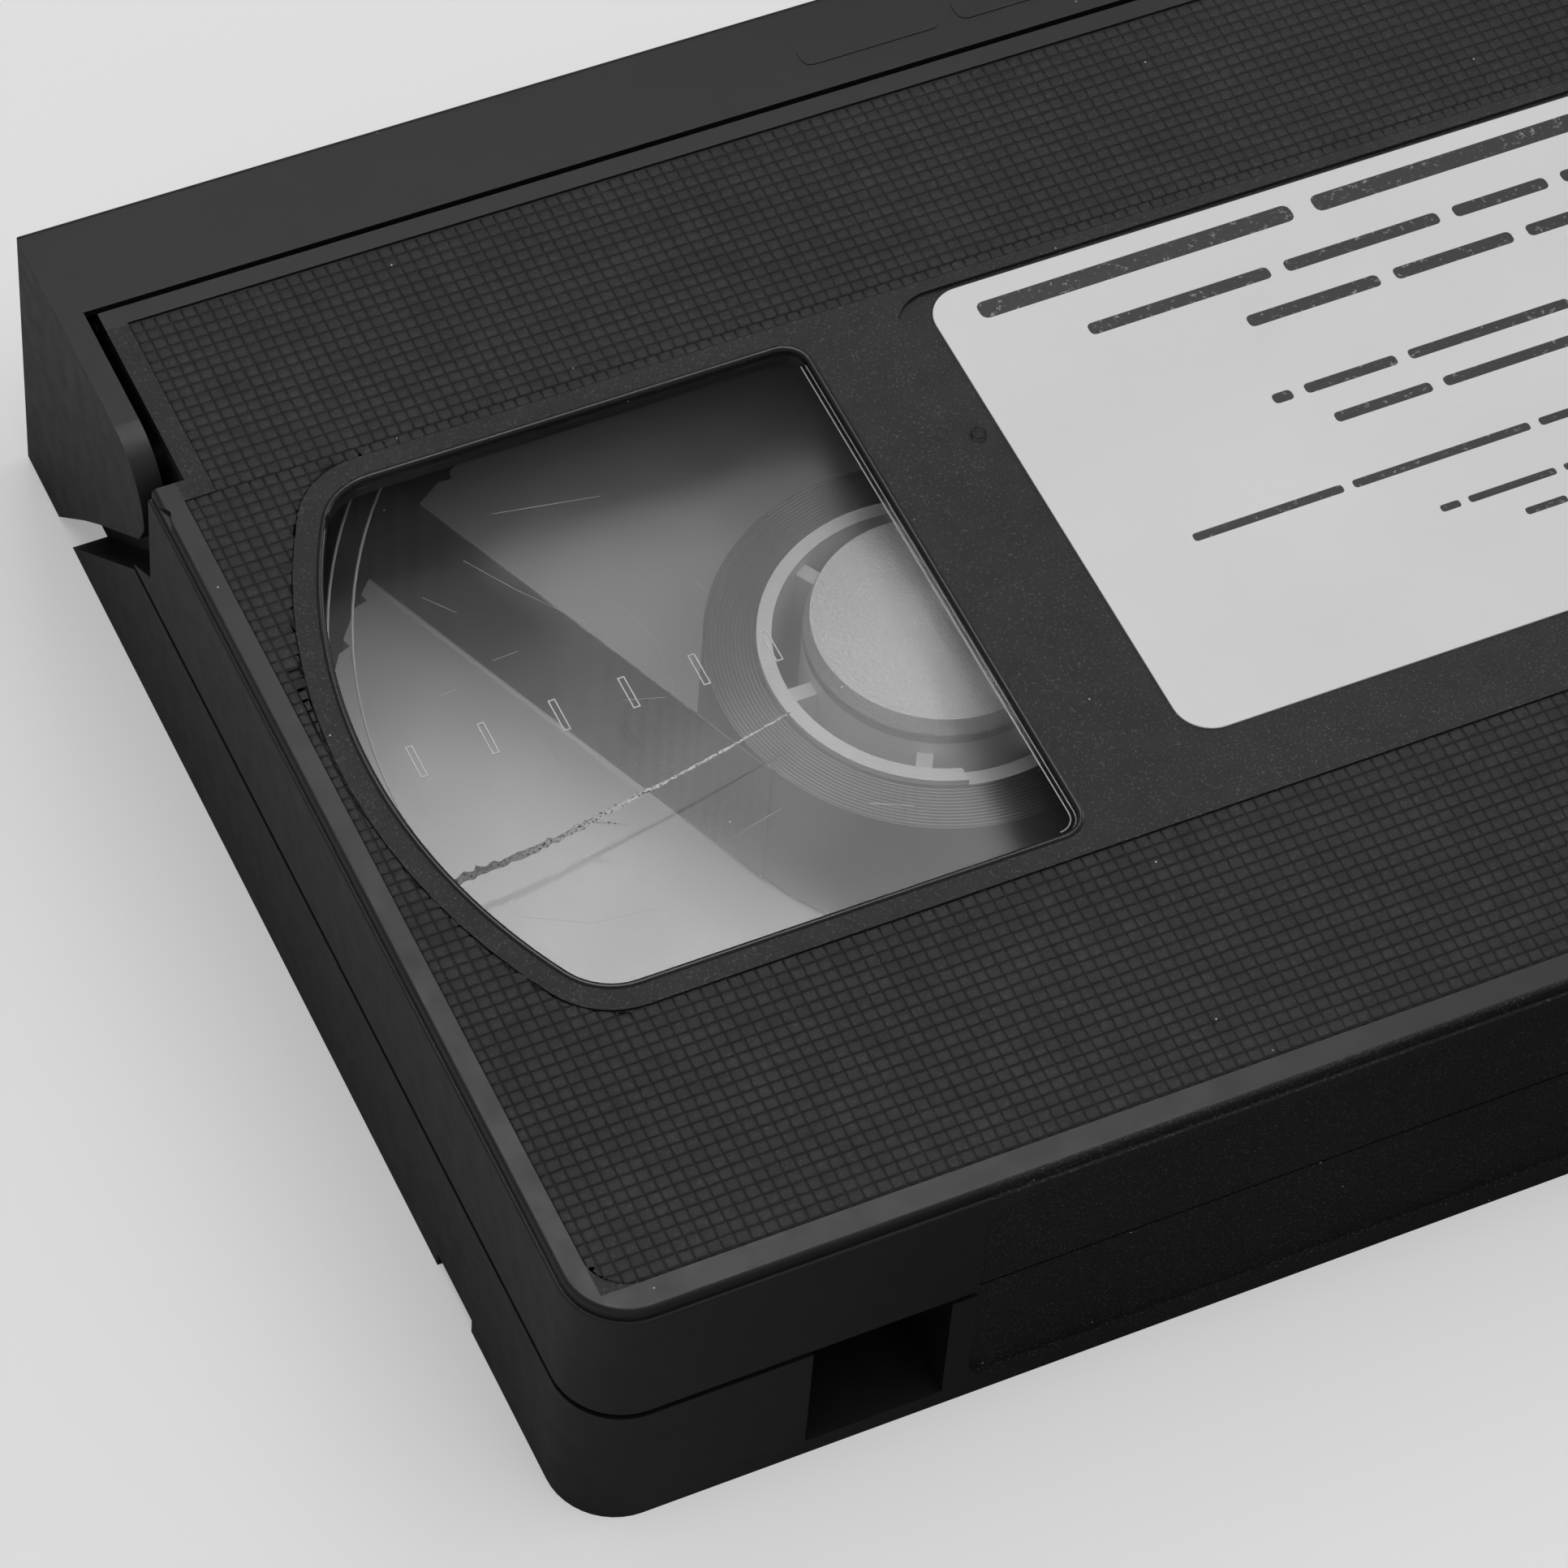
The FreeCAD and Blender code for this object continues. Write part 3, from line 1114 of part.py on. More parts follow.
def shell_screws():
    """Model the five case screws: head in its counterbore, shank up into the upper boss."""
    heads = screw_columns("ScrewHead", "screw_head", ("sink_depth - screw_head_tall", "sink_depth"))
    shanks = screw_columns("ScrewShank", "screw_radius", ("sink_depth", "screw_end"))
    return sub_part("shell_screws", fuse("ShellScrews", heads, shanks))


def write_parts(parts):
    """Check every object, then write each sub-part to its own file."""
    document.recompute()
    for item in document.Objects:
        if "Invalid" in item.State or "Error" in item.State:
            raise RuntimeError("failed object: %s %s" % (item.Name, item.State))
    for part in parts:
        if part.Shape.isNull() or not part.Shape.isValid() or part.Shape.Volume <= 0:
            raise RuntimeError("bad shape: " + part.Label)
    os.makedirs("parts", exist_ok=True)
    for part in parts:
        part.Shape.exportStep("parts/%s.step" % part.Label)
        print("%-22s %d solids %10.1f mm3" % (part.Label, len(part.Shape.Solids), part.Shape.Volume))


def main():
    """Build the cassette and write its parts."""
    parts = [upper_shell(), lower_shell(), face_label(), front_door(), door_spring(), door_lock()]
    parts += windows()
    parts += reel("supply", "-reel_x", "supply_pack")
    parts += reel("takeup", "reel_x", "takeup_pack")
    parts += guides("supply", "-1")
    parts += guides("takeup", "1")
    parts += brake_pawls()
    parts += brake_springs()
    parts += [tape_span(), brake_release(), leaf_spring(), shell_screws()]
    write_parts(parts)


main()
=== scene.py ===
"""Used video cassette: moulded shells, reels behind two clear windows, hinged front door, face label."""

from __future__ import annotations

import logging
import math
from dataclasses import dataclass
from enum import Enum

import bmesh
import bpy
from mathutils import Matrix, Vector, noise


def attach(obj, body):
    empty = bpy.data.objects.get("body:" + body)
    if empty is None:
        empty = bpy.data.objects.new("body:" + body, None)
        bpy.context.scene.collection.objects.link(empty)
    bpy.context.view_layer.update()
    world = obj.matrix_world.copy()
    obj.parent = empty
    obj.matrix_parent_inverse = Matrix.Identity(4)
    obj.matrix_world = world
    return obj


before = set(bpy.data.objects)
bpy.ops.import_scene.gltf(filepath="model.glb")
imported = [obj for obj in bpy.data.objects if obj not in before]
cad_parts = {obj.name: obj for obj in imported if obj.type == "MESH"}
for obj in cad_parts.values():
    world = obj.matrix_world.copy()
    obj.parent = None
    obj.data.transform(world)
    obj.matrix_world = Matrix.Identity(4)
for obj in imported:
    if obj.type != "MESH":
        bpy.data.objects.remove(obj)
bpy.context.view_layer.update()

MM = 0.001
PER_MM = 1000.0
Socket = bpy.types.NodeSocket
Material = bpy.types.Material
Form = bmesh.types.BMesh
Pair = tuple[float, float]
Triple = tuple[float, float, float]
log = logging.getLogger("video_cassette")


class Side(Enum):
    """The two reels, by the way the tape runs."""

    SUPPLY = -1.0
    TAKEUP = 1.0


@dataclass(frozen=True)
class Layout:
    """Places that several pieces share, in millimetres."""

    reel_x: float = 44.9
    reel_y: float = -3.4
    panel_level: float = 25.0
    field_level: float = 24.8
    window_level: float = 24.6
    window_front: float = 20.9
    window_rear: float = -27.3
    window_inner: float = 45.0
    window_arc: float = 44.2
    window_round_inner: float = 2.0
    window_round_outer: float = 5.0
    flange_level: float = 19.45
    field_side: float = 91.9
    field_side_front: float = 89.5
    field_rear: float = -49.5
    field_jog: float = 23.7
    field_round: float = 3.0
    field_front: float = 40.7
    band_margin: float = 1.9
    band_round: float = 6.5


LAYOUT = Layout()


class NodeSketch:
    """A material being written: its tree, and short calls for the nodes that finishes share."""

    def __init__(self, name: str) -> None:
        """Start a material whose patterns lie in millimetres of the object's own frame.

        Args:
            name: The material's name.
        """
        self.material = bpy.data.materials.new(name)
        self.material.use_nodes = True
        self.tree = self.material.node_tree
        self.shader = self.tree.nodes["Principled BSDF"]
        self.place = self.tree.nodes.new("ShaderNodeTexCoord").outputs["Object"]
        self.scaled = self.mapped(scale=(PER_MM, PER_MM, PER_MM))

    def link(self, source: Socket, target: Socket) -> None:
        """Join an output to an input."""
        self.tree.links.new(source, target)

    def set(self, **values: object) -> None:
        """Write constants on the shader's own sockets, their names with underscores for spaces."""
        for name, value in values.items():
            self.shader.inputs[name.replace("_", " ")].default_value = value

    def feed(self, **sources: Socket) -> None:
        """Link outputs to the shader's own sockets, their names with underscores for spaces."""
        for name, source in sources.items():
            self.link(source, self.shader.inputs[name.replace("_", " ")])

    def mapped(self, scale: Triple, centre: Pair = (0.0, 0.0)) -> Socket:
        """Return object coordinates moved and scaled.

        Args:
            scale: Units of the pattern for each metre, along each axis.
            centre: The pattern's centre in millimetres.

        Returns:
            The mapped coordinates.
        """
        node = self.tree.nodes.new("ShaderNodeMapping")
        node.vector_type = "POINT"
        node.inputs["Scale"].default_value = scale
        node.inputs["Location"].default_value = (-centre[0] * MM * scale[0], -centre[1] * MM * scale[1], 0.0)
        self.link(self.place, node.inputs["Vector"])
        return node.outputs["Vector"]

    def noise(self, scale: float, detail: float = 2.0, rough: float = 0.5) -> Socket:
        """Return a noise value.

        Args:
            scale: Features for each millimetre.
            detail: How many finer layers it has.
            rough: How strong those layers are.

        Returns:
            The value, from 0 to 1.
        """
        node = self.tree.nodes.new("ShaderNodeTexNoise")
        node.inputs["Scale"].default_value = scale
        node.inputs["Detail"].default_value = detail
        node.inputs["Roughness"].default_value = rough
        self.link(self.scaled, node.inputs["Vector"])
        return node.outputs["Fac"]

    def math(self, operation: str, first: Socket | float, second: Socket | float = 0.0, clamp: bool = False) -> Socket:
        """Return the result of one arithmetic step.

        Args:
            operation: The step's name.
            first: A socket or a number.
            second: A socket or a number.
            clamp: Whether the result is held between 0 and 1.

        Returns:
            The result.
        """
        node = self.tree.nodes.new("ShaderNodeMath")
        node.operation = operation
        node.use_clamp = clamp
        for index, value in enumerate((first, second)):
            if isinstance(value, (int, float)):
                node.inputs[index].default_value = value
            else:
                self.link(value, node.inputs[index])
        return node.outputs["Value"]

    def ramp(self, value: Socket, low: float, high: float, start: float = 0.0, end: float = 1.0) -> Socket:
        """Return a value stretched and clamped.

        Args:
            value: What is stretched.
            low: The value that gives start.
            high: The value that gives end.
            start: The result at low.
            end: The result at high.

        Returns:
            The stretched value.
        """
        node = self.tree.nodes.new("ShaderNodeMapRange")
        node.clamp = True
        self.link(value, node.inputs["Value"])
        for name, number in (("From Min", low), ("From Max", high), ("To Min", start), ("To Max", end)):
            node.inputs[name].default_value = number
        return node.outputs["Result"]

    def axes(self) -> dict[str, Socket]:
        """Return the object coordinates X, Y and Z, in millimetres."""
        node = self.tree.nodes.new("ShaderNodeSeparateXYZ")
        self.link(self.scaled, node.inputs["Vector"])
        return {axis: node.outputs[axis] for axis in "XYZ"}

    def colour(self, factor: Socket, first: Triple | Socket, second: Triple) -> Socket:
        """Return a colour that goes from first to second.

        Args:
            factor: 0 for the first colour and 1 for the second.
            first: A colour or a socket.
            second: A colour.

        Returns:
            The mixed colour.
        """
        node = self.tree.nodes.new("ShaderNodeMix")
        node.data_type = "RGBA"
        self.link(factor, node.inputs["Factor"])
        if isinstance(first, tuple):
            node.inputs["A"].default_value = (*first, 1.0)
        else:
            self.link(first, node.inputs["A"])
        node.inputs["B"].default_value = (*second, 1.0)
        return node.outputs["Result"]

    def bump(self, height: Socket, distance: float, strength: float = 1.0, under: Socket | None = None) -> Socket:
        """Return a normal roughened by a height.

        Args:
            height: The height, from 0 to 1.
            distance: How far a full step rises, in millimetres.
            strength: How much of it shows.
            under: A normal that it lies on.

        Returns:
            The normal.
        """
        node = self.tree.nodes.new("ShaderNodeBump")
        node.inputs["Strength"].default_value = strength
        node.inputs["Distance"].default_value = distance * MM
        self.link(height, node.inputs["Height"])
        if under is not None:
            self.link(under, node.inputs["Normal"])
        return node.outputs["Normal"]

    def dots(self, spacing: float, radius: float, share: float, soft: float = 0.4) -> Socket:
        """Return a mask of scattered small dots, such as dust.

        Args:
            spacing: Mean distance between the cells that may hold a dot, in millimetres.
            radius: A dot's radius in millimetres.
            share: The share of the cells that hold one.
            soft: How much of a dot's radius fades out.

        Returns:
            1 in a dot and 0 elsewhere.
        """
        node = self.tree.nodes.new("ShaderNodeTexVoronoi")
        node.feature = "F1"
        node.inputs["Scale"].default_value = 1.0 / spacing
        self.link(self.scaled, node.inputs["Vector"])
        edge = radius / spacing
        inside = self.ramp(node.outputs["Distance"], edge * (1.0 - soft), edge, 1.0, 0.0)
        pick = self.tree.nodes.new("ShaderNodeSeparateColor")
        self.link(node.outputs["Color"], pick.inputs["Color"])
        held = self.math("GREATER_THAN", pick.outputs["Red"], 1.0 - share)
        return self.math("MULTIPLY", inside, held)


@dataclass(frozen=True)
class ShellPlastic:
    """Black moulded polystyrene: satin, sand-grained on the band and in the recesses, dusty."""

    name: str
    tone: float = 0.0125
    sheen: float = 0.42
    grain: float = 1.0
    dust: float = 1.0
    top_level: float = LAYOUT.window_level - 0.4
    spine_recess: float = -51.4
    spine_half: float = 64.5

    def build(self) -> Material:
        """Return the material."""
        draw = NodeSketch(self.name)
        at = draw.axes()
        top = draw.math("GREATER_THAN", at["Z"], self.top_level)
        beside = draw.math("LESS_THAN", draw.math("ABSOLUTE", at["X"]), LAYOUT.field_side)
        front = draw.math("LESS_THAN", at["Y"], LAYOUT.field_front)
        rear = draw.math("GREATER_THAN", at["Y"], LAYOUT.field_rear)
        panel = draw.math("MULTIPLY", draw.math("MULTIPLY", top, beside), draw.math("MULTIPLY", front, rear))
        spine = draw.math("LESS_THAN", at["Y"], self.spine_recess)
        inset = draw.math("LESS_THAN", draw.math("ABSOLUTE", at["X"]), self.spine_half)
        sunk = draw.math("MULTIPLY", spine, inset)
        grained = draw.math("MAXIMUM", panel, sunk)
        cloud = draw.ramp(draw.noise(0.06, 3.0), 0.3, 0.7, 0.82, 1.18)
        sand = draw.noise(7.0, 3.0, 0.7)
        speck = draw.math("MULTIPLY", draw.ramp(draw.noise(5.5, 2.0, 0.6), 0.58, 0.72), grained)
        black = (self.tone, self.tone, self.tone * 1.02)
        plain = draw.colour(draw.math("MULTIPLY", speck, 0.5 * self.grain), black, (0.16, 0.16, 0.16))
        node = draw.tree.nodes.new("ShaderNodeMix")
        node.data_type = "RGBA"
        node.blend_type = "MULTIPLY"
        node.inputs["Factor"].default_value = 1.0
        draw.link(plain, node.inputs["A"])
        tint = draw.tree.nodes.new("ShaderNodeCombineColor")
        for channel in ("Red", "Green", "Blue"):
            draw.link(cloud, tint.inputs[channel])
        draw.link(tint.outputs["Color"], node.inputs["B"])
        dust = draw.math("MULTIPLY", draw.dots(2.1, 0.085, 0.2), self.dust)
        dusty = draw.colour(dust, node.outputs["Result"], (0.62, 0.62, 0.61))
        draw.feed(Base_Color=dusty)
        satin = draw.ramp(draw.noise(0.5, 3.0), 0.3, 0.7, self.sheen - 0.05, self.sheen + 0.05)
        rough = draw.math("ADD", satin, draw.math("MULTIPLY", grained, 0.12))
        rough = draw.math("ADD", rough, draw.math("MULTIPLY", dust, 0.3), clamp=True)
        draw.feed(Roughness=rough)
        coarse = draw.math("ADD", draw.math("MULTIPLY", grained, 0.9 * self.grain), 0.1)
        depth = draw.math("MULTIPLY", sand, coarse)
        draw.feed(Normal=draw.bump(depth, 0.07, 0.9))
        draw.set(IOR=1.46)
        return draw.material


@dataclass(frozen=True)
class ClearPlastic:
    """Clear polystyrene that passes most light, glosses where the lights stand, and carries dust; made near-opaque and
    pale, it paints highlights on thin clear edges.
    """

    name: str
    haze_and_highlight: float = 0.06
    gloss: float = 4.0
    rough: float = 0.03
    worn: float = 1.0
    veil_and_highlight: Triple = (0.12, 0.12, 0.12)

    def build(self) -> Material:
        """Return the material."""
        draw = NodeSketch(self.name)
        fine = draw.dots(1.5, 0.06, 0.2)
        coarse = draw.dots(5.0, 0.12, 0.2)
        marks = draw.math("MULTIPLY", draw.math("MAXIMUM", fine, coarse), self.worn)
        smear = draw.ramp(draw.noise(0.12, 3.0), 0.35, 0.75, 0.0, 0.02)
        cover = draw.math("ADD", draw.math("MULTIPLY", marks, 0.6), smear)
        # A high cover with a pale veil paints a highlight on thin clear edges instead of a haze.
        draw.feed(Alpha=draw.math("ADD", cover, self.haze_and_highlight, clamp=True))
        draw.feed(Base_Color=draw.colour(marks, self.veil_and_highlight, (0.9, 0.9, 0.9)))
        draw.feed(Roughness=draw.ramp(draw.noise(0.2, 2.0), 0.3, 0.8, self.rough, self.rough * 2.0))
        draw.set(IOR=self.gloss)
        return draw.material


@dataclass(frozen=True)
class FrostedPlastic:
    """Clear plastic with a coarse sparkling frost, on the reels' round caps."""

    name: str

    def build(self) -> Material:
        """Return the material."""
        draw = NodeSketch(self.name)
        crystals = draw.noise(3.2, 3.0, 0.65)
        sparkle = draw.ramp(draw.noise(6.0, 2.0, 0.7), 0.55, 0.8)
        draw.feed(Base_Color=draw.colour(sparkle, (0.66, 0.66, 0.66), (0.96, 0.96, 0.96)))
        draw.feed(Normal=draw.bump(crystals, 0.2, 0.9))
        draw.feed(Roughness=draw.ramp(draw.noise(1.5, 2.0), 0.3, 0.7, 0.3, 0.42))
        draw.set(Alpha=0.9, IOR=1.75)
        return draw.material


@dataclass(frozen=True)
class PaleMoulding:
    """White moulding that lets a little light in, for hubs, lower flanges and rollers."""

    name: str
    tone: Triple = (0.86, 0.86, 0.855)

    def build(self) -> Material:
        """Return the material."""
        draw = NodeSketch(self.name)
        shade = draw.ramp(draw.noise(0.15, 3.0), 0.3, 0.7)
        darker = tuple(channel * 0.9 for channel in self.tone)
        draw.feed(Base_Color=draw.colour(shade, darker, self.tone))
        draw.feed(Roughness=draw.ramp(draw.noise(1.5, 2.0), 0.3, 0.7, 0.36, 0.5))
        draw.feed(Normal=draw.bump(draw.noise(4.0, 2.0), 0.01))
        draw.set(Subsurface_Weight=0.15, Subsurface_Radius=(0.0015, 0.0015, 0.0015), IOR=1.5)
        return draw.material


@dataclass(frozen=True)
class WoundTape:
    """Edges of wound tape: dark, with fine rings about the reel's axis."""

    name: str
    centre: Pair
    tone: float = 0.03

    def build(self) -> Material:
        """Return the material."""
        draw = NodeSketch(self.name)
        lie = draw.mapped((PER_MM, PER_MM, 0.0), self.centre)
        rings = draw.tree.nodes.new("ShaderNodeTexWave")
        rings.wave_type = "RINGS"
        rings.rings_direction = "SPHERICAL"
        for name, number in (("Scale", 1.1), ("Distortion", 0.4), ("Detail", 3.0), ("Detail Scale", 2.0)):
            rings.inputs[name].default_value = number
        draw.link(lie, rings.inputs["Vector"])
        tone = self.tone
        dark = (tone * 0.5, tone * 0.49, tone * 0.48)
        pale = (tone * 1.6, tone * 1.58, tone * 1.55)
        draw.feed(Base_Color=draw.colour(rings.outputs["Fac"], dark, pale))
        draw.feed(Normal=draw.bump(rings.outputs["Fac"], 0.02))
        draw.feed(Roughness=draw.ramp(rings.outputs["Fac"], 0.0, 1.0, 0.28, 0.4))
        draw.set(IOR=1.55)
        return draw.material


@dataclass(frozen=True)
class LabelPaper:
    """White uncoated label paper with faint fibres, creases and scattered dark flecks."""

    name: str

    def build(self) -> Material:
        """Return the material."""
        draw = NodeSketch(self.name)
        fibre = draw.noise(3.0, 4.0, 0.7)
        cloud = draw.ramp(draw.noise(0.05, 3.0), 0.3, 0.75)
        undarkened = draw.colour(cloud, (0.85, 0.85, 0.845), (0.91, 0.91, 0.905))
        flecks = draw.math("MULTIPLY", draw.dots(2.6, 0.07, 0.12), 0.35)
        draw.feed(Base_Color=draw.colour(flecks, undarkened, (0.35, 0.35, 0.34)))
        crease = draw.ramp(draw.noise(0.18, 3.0, 0.55), 0.2, 0.8)
        soft = draw.bump(crease, 0.12, 0.6)
        draw.feed(Normal=draw.bump(fibre, 0.015, 0.6, soft))
        draw.feed(Roughness=draw.ramp(fibre, 0.3, 0.7, 0.6, 0.75))
        draw.set(IOR=1.4)
        return draw.material


@dataclass(frozen=True)
class LetterpressInk:
    """Black ink that sits unevenly on the paper, thin and broken in places."""

    name: str
    worn: float = 0.5

    def build(self) -> Material:
        """Return the material."""
        draw = NodeSketch(self.name)
        thin = draw.ramp(draw.noise(2.2, 4.0, 0.65), 0.66 - 0.14 * self.worn, 0.74)
        draw.feed(Base_Color=draw.colour(thin, (0.03, 0.03, 0.032), (0.42, 0.42, 0.42)))
        draw.feed(Roughness=draw.ramp(draw.noise(4.0, 2.0), 0.3, 0.7, 0.4, 0.6))
        return draw.material


@dataclass(frozen=True)
class BrightMetal:
    """Drawn or rolled steel with a little tarnish."""

    name: str
    tone: float = 0.55
    rough: float = 0.28

    def build(self) -> Material:
        """Return the material."""
        draw = NodeSketch(self.name)
        tarnish = draw.ramp(draw.noise(0.8, 4.0, 0.6), 0.4, 0.75)
        tone = self.tone
        dull = (tone * 0.6, tone * 0.58, tone * 0.55)
        draw.feed(Base_Color=draw.colour(tarnish, (tone, tone, tone * 1.01), dull))
        draw.feed(Roughness=draw.ramp(draw.noise(3.0, 3.0), 0.3, 0.7, self.rough, self.rough + 0.14))
        draw.set(Metallic=1.0)
        return draw.material


@dataclass(frozen=True)
class BrokenEdge:
    """Crushed clear plastic along a crack: white grains over dark ones, partly the whitened plastic and partly painted
    glints.
    """

    name: str
    pale: float = 0.5
    wide_end_darkening: float = 0.0
    darkest_x: float = -84.0
    undarkened_x: float = -72.0

    def build(self) -> Material:
        """Return the material, darker where the crack is widest."""
        draw = NodeSketch(self.name)
        whitening_and_glint = draw.ramp(draw.noise(5.0, 3.0, 0.75), 0.62 - 0.3 * self.pale, 0.72 - 0.3 * self.pale)
        # The grains darken towards the crack's wide end, at low X.
        undarkened = draw.ramp(draw.axes()["X"], self.darkest_x, self.undarkened_x, 1.0 - self.wide_end_darkening, 1.0)
        whitening_and_glint = draw.math("MULTIPLY", whitening_and_glint, undarkened)
        draw.feed(Base_Color=draw.colour(whitening_and_glint, (0.03, 0.03, 0.03), (0.75, 0.75, 0.75)))
        draw.feed(Normal=draw.bump(draw.noise(6.0, 2.0, 0.7), 0.12))
        draw.set(Roughness=0.35, IOR=1.55)
        return draw.material


def piece(form: Form, name: str, material: Material, smooth: bool = False, unit: float = MM) -> bpy.types.Object:
    """Make an object at the origin.

    Args:
        form: The finished shape, which is freed.
        name: The piece's name.
        material: Its finish.
        smooth: Whether its faces are shaded smooth.
        unit: The shape's unit in metres.

    Returns:
        The new object, linked to the scene.
    """
    bmesh.ops.scale(form, vec=(unit, unit, unit), verts=form.verts)
    mesh = bpy.data.meshes.new(name)
    form.to_mesh(mesh)
    form.free()
    mesh.materials.append(material)
    for polygon in mesh.polygons:
        polygon.use_smooth = smooth
    made = bpy.data.objects.new(name, mesh)
    bpy.context.scene.collection.objects.link(made)
    return made


def face_up(form: Form) -> None:
    """Turn every face of a flat or low shape so that it looks up."""
    bmesh.ops.recalc_face_normals(form, faces=form.faces)
    for face in form.faces:
        if face.normal.z < 0:
            face.normal_flip()


def ring(centre: Vector, radius: float, steps: int) -> list[Vector]:
    """Return points round a circle, anticlockwise from the right."""
    turns = (2 * math.pi * step / steps for step in range(steps))
    return [centre + radius * Vector((math.cos(turn), math.sin(turn))) for turn in turns]


def report(made: bpy.types.Object, note: str) -> None:
    """Log one piece, its faces and what it is."""
    log.info("%s: %d faces, %s", made.name, len(made.data.polygons), note)


def dress(names: tuple[str, ...], material: Material) -> None:
    """Give CAD nodes their finish.

    Args:
        names: The nodes.
        material: The finish.
    """
    for name in names:
        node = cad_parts[name]
        if not node.material_slots:
            node.data.materials.append(material)
        for slot in node.material_slots:
            slot.material = material
        log.info("%s: finished in %s", name, material.name)


@dataclass
class GripPads:
    """The raised pads of the waffle grip that fills the panel outside the smooth band."""

    pitch_x: float = 1.03
    pitch_y: float = 1.0
    groove: float = 0.05
    groove_share: float = 0.68
    shoulder: float = 0.11
    shoulder_share: float = 0.27
    slack: float = 0.02
    reach: float = 0.85
    tilt: float = 0.022
    drift: float = 0.03
    dish: float = 0.012
    smallest: float = 0.12

    def band_outline(self) -> list[Vector]:
        """Return the smooth band's outline, anticlockwise, in millimetres."""
        front = LAYOUT.window_front + LAYOUT.band_margin
        rear = LAYOUT.window_rear - LAYOUT.band_margin
        radius = LAYOUT.window_arc + LAYOUT.band_margin
        corner = LAYOUT.band_round
        inner = radius - corner
        points: list[Vector] = []
        for edge, sign in ((front, 1.0), (rear, -1.0)):
            y = edge - sign * corner - LAYOUT.reel_y
            x = math.sqrt(inner * inner - y * y)
            meet = math.atan2(y, x)
            start, end = (meet, math.pi / 2) if sign > 0 else (-math.pi / 2, meet)
            for step in range(9):
                angle = start + (end - start) * step / 8
                points.append(Vector((LAYOUT.reel_x + x + corner * math.cos(angle),
                                      LAYOUT.reel_y + y + corner * math.sin(angle))))
            if sign < 0:
                low_turn = meet
            else:
                high_turn = meet
        arc = [Vector((LAYOUT.reel_x + radius * math.cos(a), LAYOUT.reel_y + radius * math.sin(a)))
               for a in (low_turn + (high_turn - low_turn) * step / 24 for step in range(1, 24))]
        right = points[9:] + arc + points[:9]
        left = [Vector((-point.x, point.y)) for point in reversed(right)]
        return right + left

    @staticmethod
    def inside(outline: list[Vector], x: float, y: float) -> bool:
        """Return whether a point lies inside a closed outline.

        Args:
            outline: The outline's points.
            x: The point's place along X.
            y: Its place along Y.

        Returns:
            Whether it lies inside.
        """
        hit = False
        for first, second in zip(outline, outline[1:] + outline[:1]):
            if (first.y > y) != (second.y > y):
                if x < (second.x - first.x) * (y - first.y) / (second.y - first.y) + first.x:
                    hit = not hit
        return hit

    def sheet(self, form: Form, half: float, low: float, high: float) -> None:
        """Lay one rectangular sheet of cells, centred on X and trimmed to its edges.

        Args:
            form: The bmesh that gets it.
            half: Half its length along X.
            low: Its rear edge.
            high: Its front edge.
        """
        columns = math.ceil(2 * half / self.pitch_x)
        rows = math.ceil((high - low) / self.pitch_y)
        turn = Matrix.Translation((0.0, high - rows * self.pitch_y / 2, LAYOUT.field_level))
        size = Matrix.Diagonal((columns * self.pitch_x / 2, rows * self.pitch_y / 2, 1.0, 1.0))
        made = bmesh.ops.create_grid(form, x_segments=columns, y_segments=rows, size=1.0, matrix=turn @ size)
        faces = list({face for vert in made["verts"] for face in vert.link_faces})
        edges = (((-half, 0), (-1, 0)), ((half, 0), (1, 0)), ((0, low), (0, -1)), ((0, high), (0, 1)))
        for point, normal in edges:
            bmesh.ops.bisect_plane(form, geom=self.parts(faces), plane_co=(*point, 0.0), plane_no=(*normal, 0.0),
                                   clear_outer=True)
            faces = [face for face in faces if face.is_valid]

    @staticmethod
    def parts(faces: list[bmesh.types.BMFace]) -> list[bmesh.types.BMVert | bmesh.types.BMEdge | bmesh.types.BMFace]:
        """Return some faces with their corners and edges."""
        return list({part for face in faces for part in (*face.verts, *face.edges, face)})

    def build(self, material: Material) -> bpy.types.Object:
        """Return the pads as one piece."""
        form = bmesh.new()
        self.sheet(form, LAYOUT.field_side, LAYOUT.field_rear, LAYOUT.field_jog)
        self.sheet(form, LAYOUT.field_side_front, LAYOUT.field_jog, LAYOUT.field_front)
        cell = form.faces.layers.int.new("cell")
        for index, face in enumerate(form.faces):
            face[cell] = index + 1
        outline = self.band_outline()
        for first, second in zip(outline, outline[1:] + outline[:1]):
            self.cut(form, first, second)
        for corner in self.corners():
            for first, second in zip(corner, corner[1:]):
                self.cut(form, first, second)
        gone = [face for face in form.faces
                if self.inside(outline, face.calc_center_median().x, face.calc_center_median().y)
                or self.beyond(face.calc_center_median())
                or face.calc_area() < self.smallest]
        bmesh.ops.delete(form, geom=gone, context="FACES")
        self.rejoin(form, cell)
        slivers = [face for face in form.faces if face.calc_area() < self.smallest]
        bmesh.ops.delete(form, geom=slivers, context="FACES")
        raised = list(form.faces)
        rise = LAYOUT.panel_level - LAYOUT.field_level
        for width, share in ((self.groove, self.groove_share), (self.shoulder, self.shoulder_share)):
            bmesh.ops.inset_individual(form, faces=raised, thickness=width, depth=rise * share,
                                       use_even_offset=True)
        flung = [vert for vert in form.verts
                 if not LAYOUT.field_level - self.slack < vert.co.z < LAYOUT.panel_level + self.slack]
        bmesh.ops.delete(form, geom=flung, context="VERTS")
        self.settle([face for face in raised if face.is_valid])
        return piece(form, "grip_pads", material, smooth=True)

